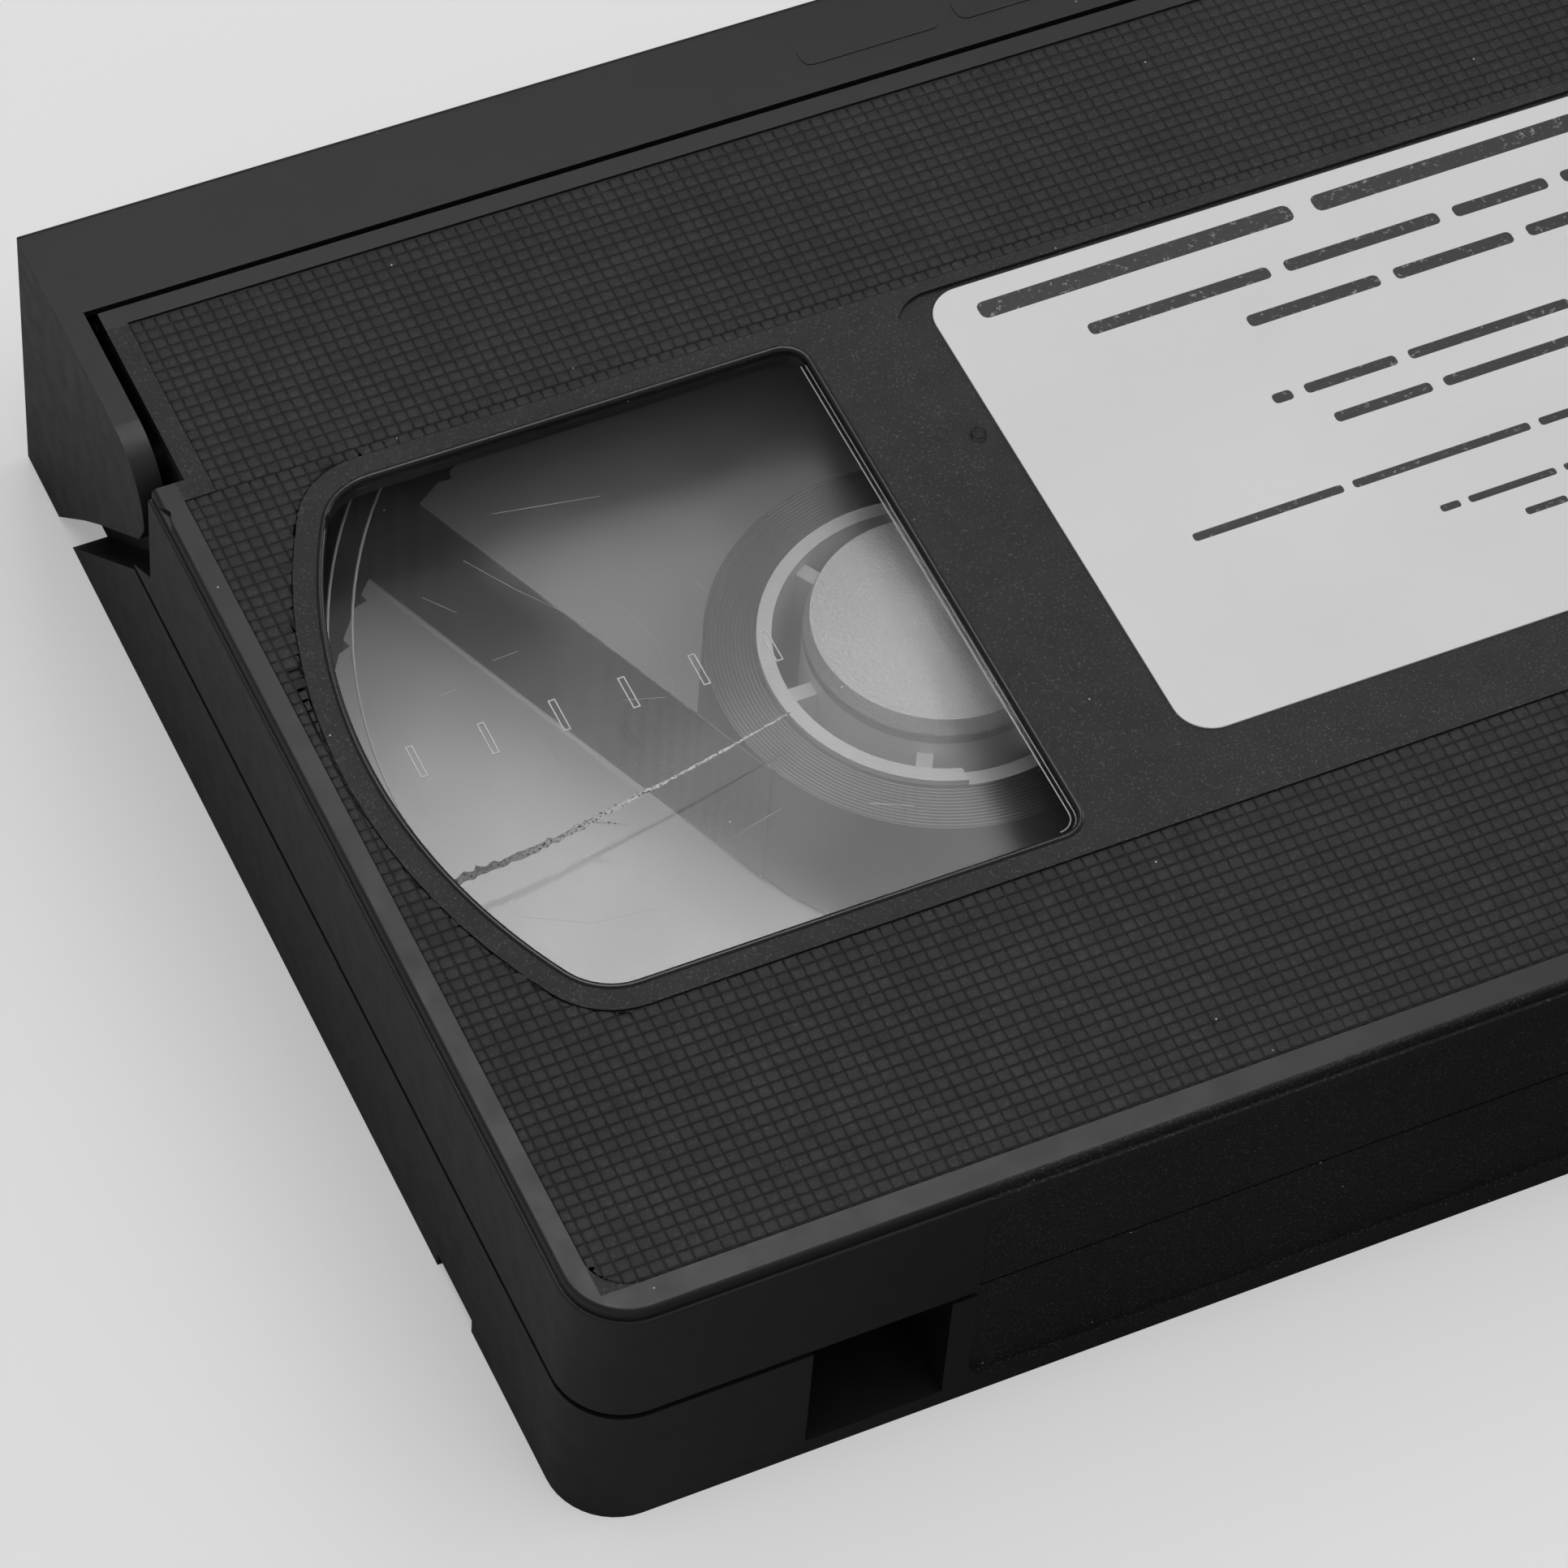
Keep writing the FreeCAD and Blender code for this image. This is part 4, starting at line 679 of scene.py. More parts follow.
    def corners(self) -> list[list[Vector]]:
        """Return the arcs at the field's two round rear corners."""
        radius = LAYOUT.field_round
        arcs = []
        for sign in (-1.0, 1.0):
            centre = Vector((sign * (LAYOUT.field_side - radius), LAYOUT.field_rear + radius))
            turns = (math.pi / 2 * step / 6 for step in range(7))
            spokes = (Vector((sign * math.cos(turn), -math.sin(turn))) for turn in turns)
            arcs.append([centre + radius * spoke for spoke in spokes])
        return arcs

    @staticmethod
    def beyond(place: Vector) -> bool:
        """Return whether a point lies outside a round rear corner of the field."""
        radius = LAYOUT.field_round
        out = Vector((abs(place.x) - LAYOUT.field_side + radius, LAYOUT.field_rear + radius - place.y))
        return min(out) > 0.0 and out.length > radius

    def cut(self, form: Form, first: Vector, second: Vector) -> None:
        """Cut the cells near one step of an outline.

        Args:
            form: The bmesh that holds the cells.
            first: Where the step starts.
            second: Where it ends.
        """
        run = second - first
        if run.length < 1e-6:
            return
        near = []
        for face in form.faces:
            centre = face.calc_center_median().xy
            share = max(0.0, min(1.0, (centre - first).dot(run) / run.length_squared))
            if (centre - first - run * share).length < self.reach:
                near.append(face)
        across = Vector((run.y, -run.x, 0.0)).normalized()
        bmesh.ops.bisect_plane(form, geom=self.parts(near), plane_co=(*first, LAYOUT.field_level), plane_no=across)

    @staticmethod
    def rejoin(form: Form, cell: bmesh.types.BMLayerItem) -> None:
        """Join the parts that the cuts left of each cell.

        Args:
            form: The bmesh that holds the cells.
            cell: The layer with each cell's number.
        """
        groups: dict[int, list[bmesh.types.BMFace]] = {}
        for face in form.faces:
            groups.setdefault(face[cell], []).append(face)
        for parts in groups.values():
            if len(parts) > 1:
                bmesh.ops.dissolve_faces(form, faces=parts, use_verts=False)

    def settle(self, tops: list[bmesh.types.BMFace]) -> None:
        """Run the outer pads out to the field's border and make every pad slightly uneven.

        Args:
            tops: The pads' top faces.
        """
        for number, top in enumerate(tops):
            if not top.is_valid:
                continue
            centre = top.calc_center_median()
            lean = noise.noise_vector(centre * 3.7 + Vector((0.0, 0.0, number * 0.37)))
            for vert in top.verts:
                arm = vert.co - centre
                wobble = noise.noise_vector(vert.co * 5.3 + Vector((number * 0.11, 0.0, 0.0)))
                vert.co.x += wobble.x * self.drift
                vert.co.y += wobble.y * self.drift
                vert.co.z -= abs(self.tilt * (lean.x * arm.x + lean.y * arm.y)) * 2.0 + self.dish * abs(wobble.z)
                if LAYOUT.field_side - abs(vert.co.x) < self.groove + self.drift:
                    vert.co.x = math.copysign(LAYOUT.field_side, vert.co.x)
                if vert.co.y - LAYOUT.field_rear < self.groove + self.drift:
                    vert.co.y = LAYOUT.field_rear
                if LAYOUT.field_front - vert.co.y < self.groove + self.drift:
                    vert.co.y = LAYOUT.field_front


@dataclass
class WindowMarks:
    """Moulded measuring ticks on a window, each a thin raised rim round a bare middle."""

    side: Side
    tops: float = -2.5
    length: float = 2.9
    width: float = 0.55
    line: float = 0.09
    sunk: float = 0.01
    proud: float = 0.06
    places: tuple[float, ...] = (85.7, 80.3, 74.9, 69.6, 64.2, 58.6)

    def build(self, material: Material) -> bpy.types.Object:
        """Return the ticks as one piece."""
        form = bmesh.new()
        for across in self.places:
            x = across * self.side.value
            made = bmesh.ops.create_grid(form, x_segments=1, y_segments=1, size=0.5)
            bmesh.ops.scale(form, vec=(self.width, self.length, 1.0), verts=made["verts"])
            place = (x, self.tops - self.length / 2, LAYOUT.window_level - self.sunk)
            bmesh.ops.translate(form, vec=place, verts=made["verts"])
            middle = list({face for vert in made["verts"] for face in vert.link_faces})
            rim = bmesh.ops.inset_region(form, faces=middle, thickness=self.line, use_even_offset=True,
                                          use_boundary=True)["faces"]
            bmesh.ops.delete(form, geom=middle, context="FACES_ONLY")
            raised = bmesh.ops.extrude_face_region(form, geom=rim)["geom"]
            verts = [part for part in raised if isinstance(part, bmesh.types.BMVert)]
            bmesh.ops.translate(form, vec=(0.0, 0.0, self.proud), verts=verts)
        bmesh.ops.recalc_face_normals(form, faces=form.faces)
        return piece(form, "window_marks_" + self.side.name.lower(), material)


@dataclass
class Crack:
    """A crack across the left window: a jagged raised lip that widens towards the case."""

    points: tuple[Pair, ...] = (
        (-87.7, -14.5), (-83.1, -14.25), (-77.5, -13.5), (-76.3, -13.2), (-73.8, -12.7),
        (-71.2, -12.25), (-66.0, -11.25), (-59.8, -9.85),
    )
    spur: tuple[Pair, ...] = ((-76.6, -13.35), (-75.5, -13.9), (-74.5, -14.5))
    wide: float = 0.7
    narrow: float = 0.12
    spur_wide: float = 0.3
    spur_narrow: float = 0.06
    proud: float = 0.1
    level: float = LAYOUT.window_level + 0.004
    steps: int = 14

    def strip(self, form: Form, points: tuple[Pair, ...], wide: float, narrow: float, seed: float) -> None:
        """Add one jagged strip that follows points and narrows from wide to narrow.

        Args:
            form: The bmesh that gets it.
            points: Its line in millimetres.
            wide: Its width at the first point.
            narrow: Its width at the last.
            seed: Picks its jags.
        """
        line: list[Vector] = []
        for first, second in zip(points, points[1:]):
            for step in range(self.steps):
                line.append(Vector(first).lerp(Vector(second), step / self.steps))
        line.append(Vector(points[-1]))
        last: list[bmesh.types.BMVert] = []
        for index, place in enumerate(line):
            share = index / (len(line) - 1)
            ahead = (line[min(index + 1, len(line) - 1)] - line[max(index - 1, 0)]).normalized()
            across = Vector((-ahead.y, ahead.x))
            jag = noise.noise_vector(Vector((index * 0.9, seed, 0.0)))
            half = (wide + (narrow - wide) * share) / 2
            middle = place + across * jag.x * half * 0.25
            crest = self.level + self.proud * (0.5 + abs(jag.z)) * (1.0 - 0.6 * share)
            row = [form.verts.new((*(middle - across * half * (1.0 + jag.y)), self.level)),
                   form.verts.new((*(middle + across * half * 0.2 * jag.z), crest)),
                   form.verts.new((*(middle + across * half * (1.0 + jag.z)), self.level))]
            if last:
                for left, right in ((0, 1), (1, 2)):
                    form.faces.new((last[left], row[left], row[right], last[right]))
            last = row

    def build(self, material: Material) -> bpy.types.Object:
        """Return the crack's lip as one piece."""
        form = bmesh.new()
        self.strip(form, self.points, self.wide, self.narrow, 1.3)
        self.strip(form, self.spur, self.spur_wide, self.spur_narrow, 7.7)
        face_up(form)
        return piece(form, "window_crack", material)


@dataclass
class HairScratches:
    """Fine scratches in the left window, each a thin ridge of turned-up plastic."""

    lines: tuple[tuple[Pair, ...], ...] = (
        ((-75.6, 11.4), (-73.3, 7.7), (-71.1, 4.7), (-68.5, 1.0)),
        ((-77.3, 2.3), (-75.3, 2.4)),
        ((-82.0, 0.8), (-80.6, 0.9)),
        ((-66.8, 3.4), (-65.9, -0.3), (-66.4, -4.6)),
        ((-72.0, 14.6), (-64.2, 13.2)),
        ((-61.5, 4.2), (-60.6, 2.1)),
        ((-84.2, -19.0), (-80.1, -21.3), (-75.3, -21.9)),
        ((-68.0, -18.2), (-64.0, -17.3)),
        ((-79.6, 9.4), (-77.9, 7.2)),
        ((-70.3, -4.4), (-67.4, -5.3)),
        ((-58.2, -19.2), (-55.4, -20.6)),
    )
    width: float = 0.055
    proud: float = 0.02
    steps: int = 6

    def build(self, material: Material) -> bpy.types.Object:
        """Return the scratches as one piece."""
        form = bmesh.new()
        for number, line in enumerate(self.lines):
            last: list[bmesh.types.BMVert] = []
            for first, second in zip(line, line[1:]):
                run = (Vector(second) - Vector(first)).normalized()
                across = Vector((-run.y, run.x)) * self.width / 2
                for step in range(self.steps + 1):
                    place = Vector(first).lerp(Vector(second), step / self.steps)
                    thin = 0.4 + 0.6 * abs(noise.noise(Vector((step * 0.7, number * 2.3, place.x))))
                    row = [form.verts.new((*(place - across * thin), LAYOUT.window_level)),
                           form.verts.new((*place, LAYOUT.window_level + self.proud)),
                           form.verts.new((*(place + across * thin), LAYOUT.window_level))]
                    for left, right in ((0, 1), (1, 2)) if last else ():
                        form.faces.new((last[left], last[right], row[right], row[left]))
                    last = row
        face_up(form)
        return piece(form, "window_scratches", material)


def window_outline(side: Side, inward: float) -> list[Vector]:
    """Return a window's outline in millimetres, anticlockwise on the supply side.

    Args:
        side: Which window.
        inward: How far inside the opening's edge it runs.

    Returns:
        The closed outline's points.
    """
    arc = LAYOUT.window_arc - inward
    inner = LAYOUT.window_round_inner - inward
    outer = LAYOUT.window_round_outer - inward
    front = LAYOUT.window_front - inward
    rear = LAYOUT.window_rear + inward
    edge = -LAYOUT.window_inner - inward
    points: list[Vector] = []

    def turned(centre: Vector, radius: float, start: float, end: float, steps: int) -> None:
        """Add an arc's points.

        Args:
            centre: Its centre.
            radius: Its radius.
            start: The angle that it starts at.
            end: The angle that it ends at.
            steps: How many runs it has.
        """
        for step in range(steps + 1):
            angle = start + (end - start) * step / steps
            points.append(centre + radius * Vector((math.cos(angle), math.sin(angle))))

    reach = arc - outer
    turns = []
    for level, sign in ((front, 1.0), (rear, -1.0)):
        y = level - sign * outer - LAYOUT.reel_y
        x = -math.sqrt(reach * reach - y * y)
        turns.append((Vector((-LAYOUT.reel_x + x, LAYOUT.reel_y + y)), math.atan2(y, x)))
    (front_centre, front_turn), (rear_centre, rear_turn) = turns
    turned(Vector((edge - inner, front - inner)), inner, 0.0, math.pi / 2, 6)
    turned(front_centre, outer, math.pi / 2, front_turn, 8)
    turned(Vector((-LAYOUT.reel_x, LAYOUT.reel_y)), arc, front_turn, rear_turn + 2 * math.pi, 40)
    turned(rear_centre, outer, rear_turn + 2 * math.pi, 1.5 * math.pi, 8)
    turned(Vector((edge - inner, rear + inner)), inner, 1.5 * math.pi, 2 * math.pi, 6)
    if side is Side.TAKEUP:
        points = [Vector((-point.x, point.y)) for point in reversed(points)]
    return points


def swept(form: Form, line: list[Vector], profile: list[Pair], closed: bool) -> None:
    """Sweep a profile along a flat line, in millimetres.

    Args:
        form: The bmesh that gets it.
        line: The line's points.
        profile: The profile's points, each an offset to the right and a level.
        closed: Whether the line is closed.
    """
    count = len(line)
    rows: list[list[bmesh.types.BMVert]] = []
    for index, place in enumerate(line):
        before = line[index - 1] if closed or index else place
        after = line[(index + 1) % count] if closed or index < count - 1 else place
        ahead = (after - before).normalized()
        right = Vector((ahead.y, -ahead.x))
        rows.append([form.verts.new((*(place + right * offset), level)) for offset, level in profile])
    pairs = list(zip(rows, rows[1:] + rows[:1])) if closed else list(zip(rows, rows[1:]))
    for first, second in pairs:
        for index in range(len(profile) - 1):
            form.faces.new((first[index], first[index + 1], second[index + 1], second[index]))
    bmesh.ops.recalc_face_normals(form, faces=form.faces)
    if sum(face.normal.z for face in form.faces) < 0:
        bmesh.ops.reverse_faces(form, faces=form.faces)


@dataclass
class WindowBead:
    """The glossy rounded lip round a window's opening."""

    side: Side
    radius: float = 0.3
    sunk: float = 0.16
    steps: int = 8

    def build(self, material: Material) -> bpy.types.Object:
        """Return the lip."""
        profile = []
        for step in range(self.steps + 1):
            angle = math.pi * step / self.steps
            profile.append((self.radius * math.cos(angle),
                            LAYOUT.panel_level - self.sunk + self.radius * math.sin(angle)))
        form = bmesh.new()
        swept(form, window_outline(self.side, 0.0), profile, closed=True)
        bmesh.ops.remove_doubles(form, verts=form.verts, dist=0.001)
        return piece(form, "window_bead_" + self.side.name.lower(), material, smooth=True)


@dataclass
class WindowEdge:
    """The cut edge of a window's clear plate, two fine lines along its straight sides whose pale finish paints the
    edge's highlight.
    """

    side: Side
    insets: tuple[float, ...] = (0.34, 0.72)
    width: float = 0.1
    proud: float = 0.012
    reach: float = 62.0

    def build(self, material: Material) -> bpy.types.Object:
        """Return the lines as one piece."""
        form = bmesh.new()
        for inset in self.insets:
            outline = window_outline(Side.SUPPLY, inset)
            run = [point for point in outline if point.x > -self.reach and point.y < LAYOUT.reel_y]
            front = LAYOUT.window_front - LAYOUT.window_round_inner
            run.append(Vector((-LAYOUT.window_inner - inset, front)))
            corner = LAYOUT.window_rear + inset + 0.001
            run.sort(key=lambda point: (point.y > corner, point.y if point.y > corner else point.x))
            if self.side is Side.TAKEUP:
                run = [Vector((-point.x, point.y)) for point in reversed(run)]
            level = LAYOUT.window_level + self.proud
            profile = [(self.width / 2, level), (0.0, level + self.proud), (-self.width / 2, level)]
            swept(form, run, profile, closed=False)
        return piece(form, "window_edge_" + self.side.name.lower(), material)


@dataclass
class FlangeRims:
    """The rolled rim and the moulded step near it on a reel's clear flange, in a pale finish that paints their
    highlights.
    """

    side: Side
    radii: tuple[float, ...] = (43.65, 41.9)
    tube: float = 0.11
    sunk: float = 0.12
    steps: int = 144

    def build(self, material: Material) -> bpy.types.Object:
        """Return both rings as one piece."""
        form = bmesh.new()
        centre = Vector((self.side.value * LAYOUT.reel_x, LAYOUT.reel_y))
        low = LAYOUT.flange_level - self.sunk
        turns = [math.pi * part / 4 for part in range(5)]
        profile = [(self.tube * math.cos(turn), low + self.tube * math.sin(turn)) for turn in turns]
        for radius in self.radii:
            swept(form, ring(centre, radius, self.steps), profile, closed=True)
        return piece(form, self.side.name.lower() + "_flange_rims", material, smooth=True)


@dataclass
class GateMark:
    """The small moulded ring in the panel beside the left window."""

    place: Pair = (-36.6, 8.0)
    radius: float = 0.55
    line: float = 0.07
    steps: int = 24

    def build(self, material: Material) -> bpy.types.Object:
        """Return the ring."""
        form = bmesh.new()
        level = LAYOUT.panel_level
        profile = [(self.line, level), (0.0, level + self.line), (-self.line, level)]
        swept(form, ring(Vector(self.place), self.radius, self.steps), profile, closed=True)
        return piece(form, "gate_mark", material)


@dataclass
class LabelPrint:
    """Plain bars on the face label in the place of lines of print, the size of words."""

    turn: float = 0.4
    level: float = 24.822
    body: float = 0.5
    rounding: float = 0.35
    word_gap: float = 0.55
    lines: tuple[tuple[float, float, float, tuple[float, ...]], ...] = (
        (17.2, 3.3, -31.3, (26.0, 28.0)),
        (13.0, 2.3, -24.6, (15.0, 13.0, 8.0, 7.0)),
        (9.2, 2.3, -13.4, (11.0, 10.0, 7.0)),
        (2.0, 1.9, -15.2, (1.6, 7.6, 13.5, 10.0)),
        (-1.3, 1.9, -11.8, (8.0, 11.5, 8.0)),
        (-7.2, 1.5, -26.6, (12.2, 14.6, 3.2, 16.0)),
        (-11.6, 1.3, -8.8, (1.6, 7.2, 9.6)),
        (-14.2, 1.3, -3.2, (3.4, 8.6)),
    )

    def build(self, material: Material) -> bpy.types.Object:
        """Return the print as one flat piece."""
        form = bmesh.new()
        for y, tall, start, words in self.lines:
            x = start
            for long in words:
                made = bmesh.ops.create_grid(form, x_segments=1, y_segments=1, size=0.5)["verts"]
                bmesh.ops.scale(form, vec=(long, tall * self.body, 1.0), verts=made)
                bmesh.ops.translate(form, vec=(x + long / 2, y + tall / 2, 0.0), verts=made)
                bmesh.ops.bevel(form, geom=made, offset=tall * self.body * self.rounding, segments=3,
                                profile=0.5, affect="VERTICES", material=-1)
                x += long + tall * self.word_gap
        turn = Matrix.Rotation(math.radians(self.turn), 3, "Z")
        bmesh.ops.rotate(form, cent=(0, 0, 0), matrix=turn, verts=form.verts)
        bmesh.ops.translate(form, vec=(0.0, 0.0, self.level), verts=form.verts)
        return piece(form, "label_print", material)


@dataclass
class DoorLegend:
    """Low raised bars on the door's flap, in the place of moulded words."""

    row: float = 45.6
    tall: float = 2.4
    proud: float = 0.07
    start: float = -33.0
    rounding: float = 0.8
    word_gap: float = 1.5
    words: tuple[float, ...] = (11.5, 7.6, 8.4, 7.2, 14.5)

    def build(self, material: Material) -> bpy.types.Object:
        """Return the legend as one piece."""
        form = bmesh.new()
        x = self.start
        for long in self.words:
            made = bmesh.ops.create_cube(form, size=1.0)["verts"]
            bmesh.ops.scale(form, vec=(long, self.tall, self.proud * 2), verts=made)
            bmesh.ops.translate(form, vec=(x + long / 2, self.row + self.tall / 2, LAYOUT.panel_level), verts=made)
            upright = [edge for vert in made for edge in vert.link_edges
                       if abs((edge.verts[0].co - edge.verts[1].co).z) > self.proud]
            bmesh.ops.bevel(form, geom=list(set(upright)), offset=self.rounding, segments=4, profile=0.5,
                            affect="EDGES", material=-1)
            x += long + self.word_gap
        return piece(form, "door_legend", material)


@dataclass(frozen=True)
class SoftBox:
    """One lamp that faces the cassette, in metres, its face so many times as bright as white."""

    name: str
    place: Triple
    size: Pair
    glow: float
    seen: bool = False

    def build(self) -> None:
        """Hang the lamp, which glossy surfaces show only where it is seen."""
        data = bpy.data.lights.new(self.name, "AREA")
        data.shape = "RECTANGLE"
        data.size, data.size_y = self.size
        data.energy = self.glow * math.pi * self.size[0] * self.size[1]
        made = bpy.data.objects.new(self.name, data)
        facing = Vector(self.place).to_track_quat("Z", "Y").to_matrix().to_4x4()
        made.matrix_world = Matrix.Translation(self.place) @ facing
        made.visible_glossy = self.seen
        bpy.context.scene.collection.objects.link(made)


@dataclass(frozen=True)
class LitCard:
    """The card that the windows mirror: two lit panels with a slanting dim bar between them.

    Its size and centre are in metres, and the places of its panels in millimetres. A fall is two
    places along Y and the brightness at each.
    """

    side: float = 0.8
    centre: Triple = (0.24, 0.42, 0.625)
    slant: float = 0.5
    bar_left: float = 340.0
    bar_right: float = 361.0
    upper_fall: tuple[float, ...] = (448.0, 393.0, 0.6, 3.6)
    lower_fall: tuple[float, ...] = (393.0, 355.0, 0.0, 1.2)
    bar_fall: tuple[float, ...] = (450.0, 405.0, 0.4, 2.6)
    past_bar: float = 1.5
    top: float = 462.0
    right: float = 200.0
    right_from: float = 460.0
    right_slope: float = 0.07
    flare_x: Pair = (207.0, 250.0)
    flare_y: Pair = (385.0, 445.0)
    flare_glow: float = 12.0

    @staticmethod
    def between(draw: NodeSketch, value: Socket, limits: Pair) -> Socket:
        """Return 1 where a value lies between two limits, and 0 elsewhere."""
        above = draw.math("GREATER_THAN", value, limits[0])
        return draw.math("MULTIPLY", above, draw.math("LESS_THAN", value, limits[1]))

    def brightness(self, draw: NodeSketch) -> Socket:
        """Return how bright the card is at each place.

        Args:
            draw: The card's material.

        Returns:
            The brightness, where 1 is white.
        """
        at = draw.axes()
        lean = draw.math("ADD", at["X"], draw.math("MULTIPLY", at["Y"], self.slant))
        fall = draw.math("ADD", draw.ramp(at["Y"], *self.upper_fall), draw.ramp(at["Y"], *self.lower_fall))
        first = draw.math("MULTIPLY", draw.math("LESS_THAN", lean, self.bar_left), fall)
        dim = draw.ramp(at["Y"], *self.bar_fall)
        bar = draw.math("MULTIPLY", draw.math("GREATER_THAN", lean, self.bar_left), dim)
        second = draw.math("MULTIPLY", draw.math("GREATER_THAN", lean, self.bar_right), self.past_bar)
        glow = draw.math("MAXIMUM", draw.math("MAXIMUM", first, bar), second)
        drop = draw.math("SUBTRACT", self.right_from, at["Y"])
        edge = draw.math("ADD", draw.math("MULTIPLY", drop, self.right_slope), at["X"])
        below = draw.math("LESS_THAN", at["Y"], self.top)
        framed = draw.math("MULTIPLY", below, draw.math("LESS_THAN", edge, self.right))
        across = self.between(draw, at["X"], self.flare_x)
        flare = draw.math("MULTIPLY", across, self.between(draw, at["Y"], self.flare_y))
        glow = draw.math("MULTIPLY", glow, framed)
        return draw.math("ADD", glow, draw.math("MULTIPLY", flare, self.flare_glow))

    def build(self) -> None:
        """Hang the card, which only glossy surfaces show."""
        form = bmesh.new()
        bmesh.ops.create_grid(form, x_segments=1, y_segments=1, size=0.5)
        bmesh.ops.scale(form, vec=(self.side, self.side, 1.0), verts=form.verts)
        bmesh.ops.translate(form, vec=self.centre, verts=form.verts)
        bmesh.ops.reverse_faces(form, faces=form.faces)
        draw = NodeSketch("lit_panels")
        draw.set(Base_Color=(0.0, 0.0, 0.0, 1.0), Emission_Color=(1.0, 1.0, 1.0, 1.0), IOR=1.0)
        draw.feed(Emission_Strength=self.brightness(draw))
        made = piece(form, "lit_panels", draw.material, unit=1.0)
        made.visible_camera = False
        made.visible_diffuse = False


@dataclass
class Studio:
    """Pale floor, soft lights and the camera at the photograph's angle."""

    room_glow: float = 0.26
    floor_half: float = 3.0
    floor_tone: float = 0.7
    floor_glow: float = 0.3
    thrown_along: tuple[float, ...] = (-160.0, -60.0, 0.75, 0.14)
    thrown_across: tuple[float, ...] = (-60.0, 20.0, 0.95, 1.0)
    lens: float = 156.88
    sensor: float = 36.0
    azimuth: float = -28.761
    elevation: float = 52.270
    roll: float = 5.004
    eye: Triple = (-202.435, -269.597, 399.317)
    boxes: tuple[SoftBox, ...] = (
        SoftBox("key_soft_box", (0.42, 0.9, 0.95), (0.7, 0.6), 8.5),
        SoftBox("top_soft_box", (0.1, -0.1, 1.3), (1.4, 1.4), 1.5),
        SoftBox("side_soft_box", (1.1, 0.35, 0.55), (0.5, 0.4), 3.5, seen=True),
    )

    def floor(self) -> None:
        """Lay the floor, pale to the camera and quieter in the light that it throws back."""
        form = bmesh.new()
        bmesh.ops.create_grid(form, x_segments=1, y_segments=1, size=self.floor_half)
        draw = NodeSketch("studio_floor")
        at = draw.axes()
        beside = draw.ramp(at["X"], *self.thrown_along)
        thrown = draw.math("MULTIPLY", beside, draw.ramp(at["Y"], *self.thrown_across))
        seen = draw.tree.nodes.new("ShaderNodeLightPath").outputs["Is Camera Ray"]
        grey = draw.colour(thrown, (0.0, 0.0, 0.0), (1.0, 1.0, 1.0))
        draw.set(Roughness=1.0, IOR=1.0, Emission_Color=(1.0, 1.0, 1.0, 1.0))
        draw.feed(Base_Color=draw.colour(seen, grey, (self.floor_tone,) * 3),
                  Emission_Strength=draw.math("MULTIPLY", seen, self.floor_glow))
        piece(form, "studio_floor", draw.material, unit=1.0)

    def world(self) -> None:
        """Fill the room with even light."""
        world = bpy.data.worlds.new("studio_room")
        world.use_nodes = True
        back = world.node_tree.nodes["Background"]
        back.inputs["Color"].default_value = (1.0, 1.0, 1.0, 1.0)
        back.inputs["Strength"].default_value = self.room_glow
        bpy.context.scene.world = world

    def camera(self) -> None:
        """Stand the camera where the photograph was taken."""
        az, el, roll = (math.radians(angle) for angle in (self.azimuth, self.elevation, self.roll))
        back = Vector((math.sin(az) * math.cos(el), -math.cos(az) * math.cos(el), math.sin(el)))
        right = Vector((math.cos(az), math.sin(az), 0.0))
        up = back.cross(right)
        turned_right = right * math.cos(roll) + up * math.sin(roll)
        turned_up = up * math.cos(roll) - right * math.sin(roll)
        data = bpy.data.cameras.new("view")
        data.lens = self.lens
        data.sensor_width = self.sensor
        data.sensor_fit = "HORIZONTAL"
        data.clip_start = 0.01
        made = bpy.data.objects.new("view", data)
        facing = Matrix((turned_right, turned_up, back)).transposed().to_4x4()
        made.matrix_world = Matrix.Translation(Vector(self.eye) * MM) @ facing
        bpy.context.scene.collection.objects.link(made)
        bpy.context.scene.camera = made

    def build(self) -> None:
        """Set the whole studio up."""
        self.floor()
        self.world()
        LitCard().build()
        for box in self.boxes:
            box.build()
        self.camera()
        bpy.context.scene.view_settings.view_transform = "Standard"


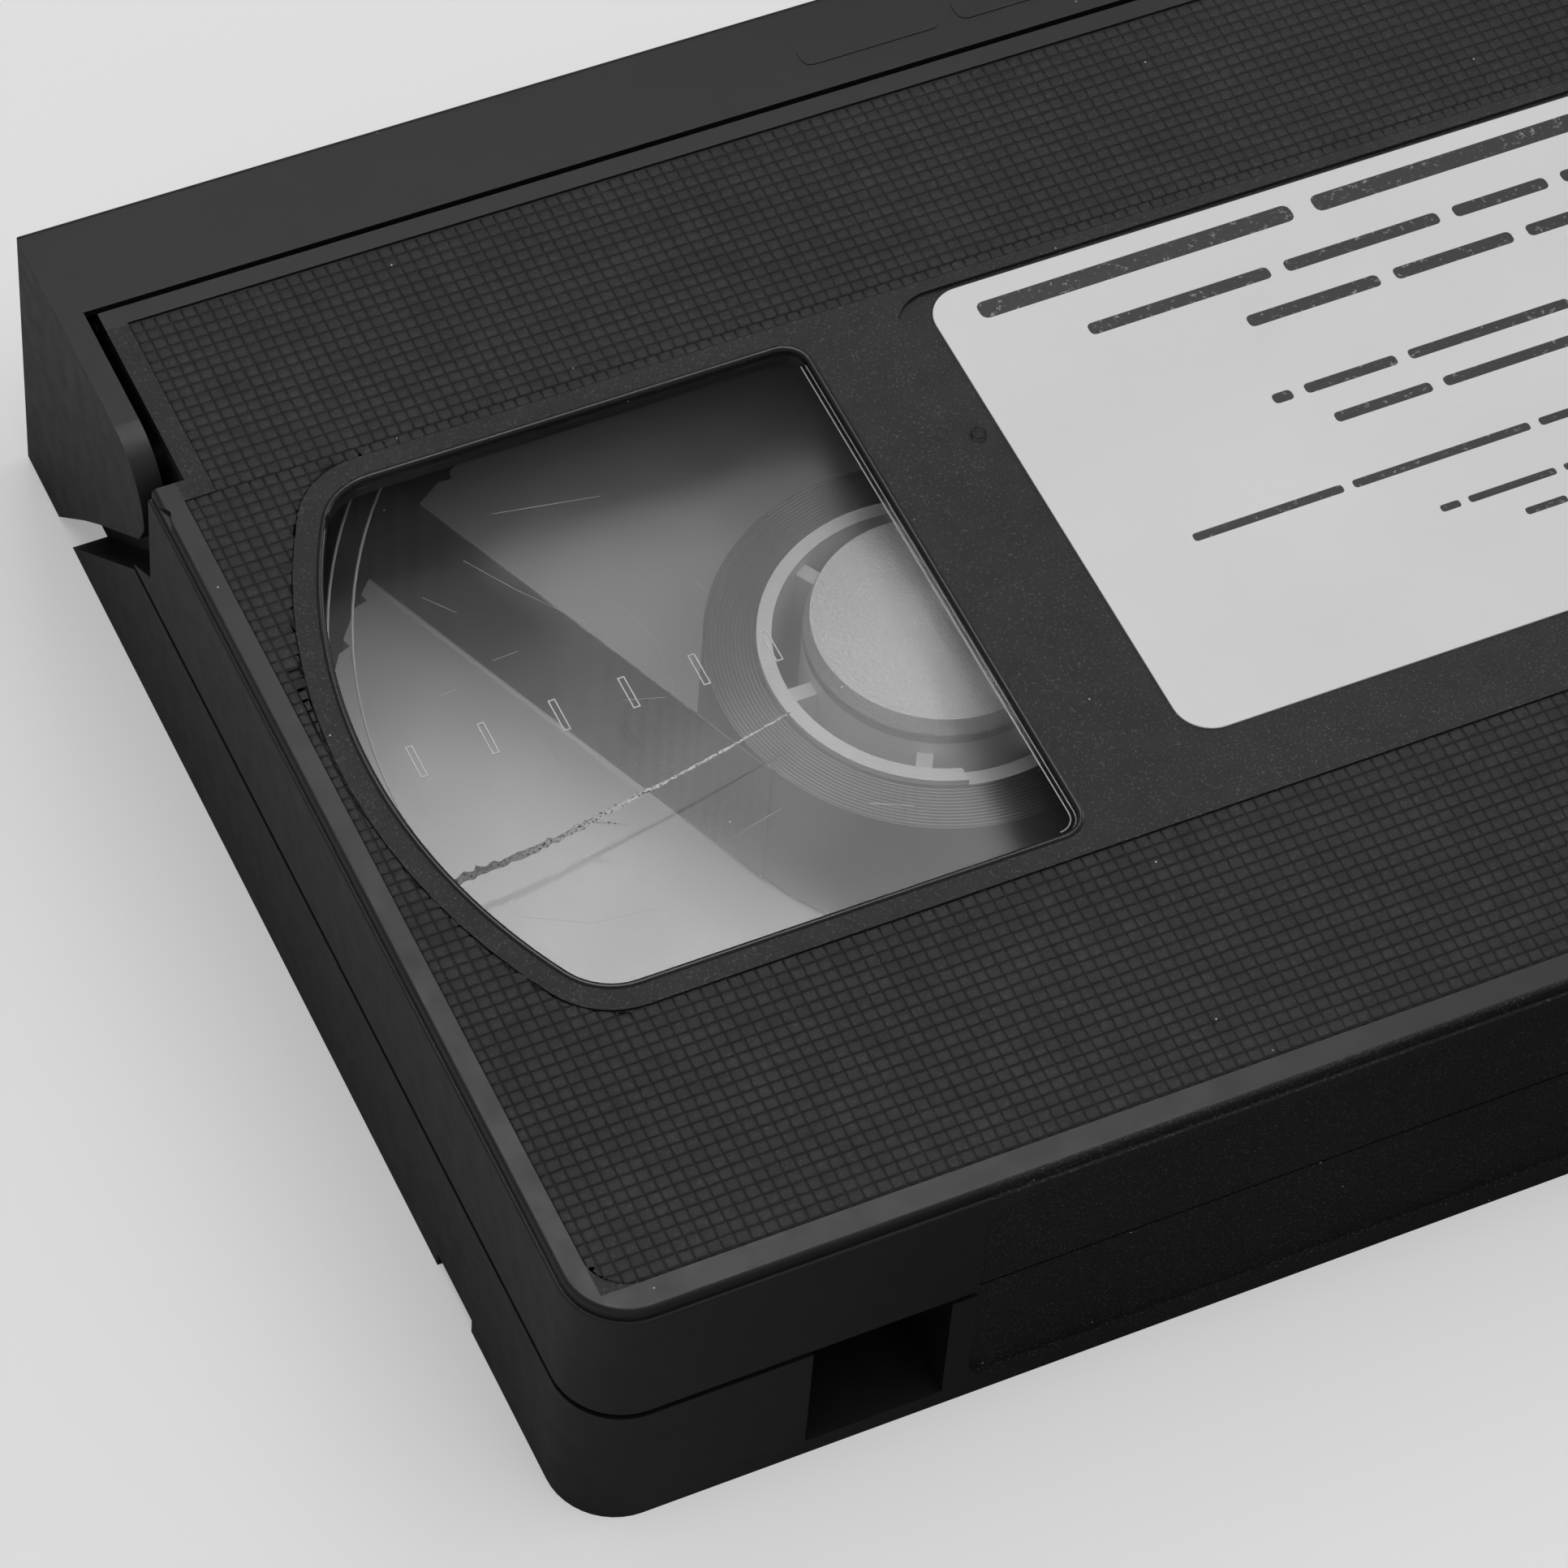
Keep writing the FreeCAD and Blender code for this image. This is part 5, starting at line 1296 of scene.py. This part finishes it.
@dataclass
class Cassette:
    """The whole cassette: finishes on its moulded parts, and the pieces that the solids leave out."""

    def dress_parts(self) -> dict[str, Material]:
        """Give every solid its finish.

        Returns:
            The finishes that new pieces share, by name.
        """
        shell = ShellPlastic("shell_plastic").build()
        door = ShellPlastic("door_plastic", tone=0.010, sheen=0.44, grain=0.3).build()
        window = ClearPlastic("window_plastic").build()
        white = PaleMoulding("hub_plastic").build()
        steel = BrightMetal("spring_steel").build()
        chrome = BrightMetal("polished_pin", tone=0.75, rough=0.1).build()
        lever = ShellPlastic("lever_plastic", tone=0.05, sheen=0.4, grain=0.2, dust=0.3).build()
        dress(("lower_shell", "upper_shell"), shell)
        dress(("front_door",), door)
        dress(("left_window", "right_window"), window)
        dress(("supply_reel_hub", "takeup_reel_hub"), white)
        flange = ClearPlastic("flange_plastic", haze_and_highlight=0.05, gloss=1.6, worn=0.0, veil_and_highlight=(0.35, 0.35, 0.35))
        dress(("supply_upper_flange", "takeup_upper_flange"), flange.build())
        dress(("supply_hub_cap", "takeup_hub_cap"), FrostedPlastic("cap_plastic").build())
        dress(("supply_tape_clip", "takeup_tape_clip"), white)
        cream = PaleMoulding("roller_plastic", (0.62, 0.6, 0.52))
        dress(("supply_guide_roller", "takeup_guide_roller"), cream.build())
        for side in Side:
            name = side.name.lower()
            finish = WoundTape(name + "_tape", (side.value * LAYOUT.reel_x, LAYOUT.reel_y)).build()
            dress((name + "_tape_pack",), finish)
        dress(("tape_span",), WoundTape("tape_ribbon", (0.0, 45.0), 0.03).build())
        dress(("face_label",), LabelPaper("label_paper").build())
        dress(("door_spring", "supply_brake_spring", "takeup_brake_spring", "reel_leaf_spring"), steel)
        dress(("shell_screws",), BrightMetal("zinc_screw", tone=0.45, rough=0.35).build())
        dress(("supply_guide_pin", "takeup_guide_pin", "supply_roller_pin", "takeup_roller_pin"), chrome)
        dress(("door_lock", "brake_release_lever", "supply_brake_pawl", "takeup_brake_pawl"), lever)
        return {"shell": shell, "door": door}

    def build(self) -> None:
        """Dress the solids, and add each new piece on the body that carries it."""
        shared = self.dress_parts()
        pads = GripPads().build(ShellPlastic("grip_plastic", tone=0.0125, sheen=0.5, grain=0.45).build())
        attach(pads, "case")
        report(pads, "the waffle grip")
        ink = LetterpressInk("label_ink").build()
        # Mostly white grains: on the ticks' clear rims they paint a glint, and on the scratches they are whitened
        # plastic with painted glints in it.
        glint = BrokenEdge("scuff_and_painted_glint", pale=1.2).build()
        rows: list[tuple[bpy.types.Object, str, str, str]] = []
        lip = ShellPlastic("bead_plastic", tone=0.012, sheen=0.16, grain=0.0, dust=0.5).build()
        # A near-opaque pale clear finish that paints highlights on the windows' cut edges and the flange rims.
        rim = ClearPlastic("painted_highlight_plastic", haze_and_highlight=0.55, gloss=1.6, worn=0.0, veil_and_highlight=(0.75, 0.75, 0.75)).build()
        for side in Side:
            name = side.name.lower()
            rows.append((WindowMarks(side).build(glint), "case", "window", "measuring ticks"))
            rows.append((WindowBead(side).build(lip), "case", "shell", "the lip round a window's opening"))
            rows.append((WindowEdge(side).build(rim), "case", "window", "a window's bright cut edge"))
            rows.append((FlangeRims(side).build(rim), name + "_reel", "flange", "rims of a clear flange"))
        rows.append((GateMark().build(shared["shell"]), "case", "shell", "a moulded ring"))
        rows.append((HairScratches().build(glint), "case", "window", "scratches"))
        crushed = BrokenEdge("crack_edge", pale=0.75, wide_end_darkening=0.75).build()
        rows.append((Crack().build(crushed), "case", "window", "the crack's lip"))
        rows.append((LabelPrint().build(ink), "case", "label", "bars for print"))
        rows.append((DoorLegend().build(shared["door"]), "door", "shell", "raised bars for words"))
        for made, body, slot, note in rows:
            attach(made, body)
            report(made, note)


def main() -> None:
    """Build the cassette and the studio."""
    logging.basicConfig(level=logging.INFO, format="%(message)s")
    Cassette().build()
    Studio().build()


if __name__ == "__main__":
    main()
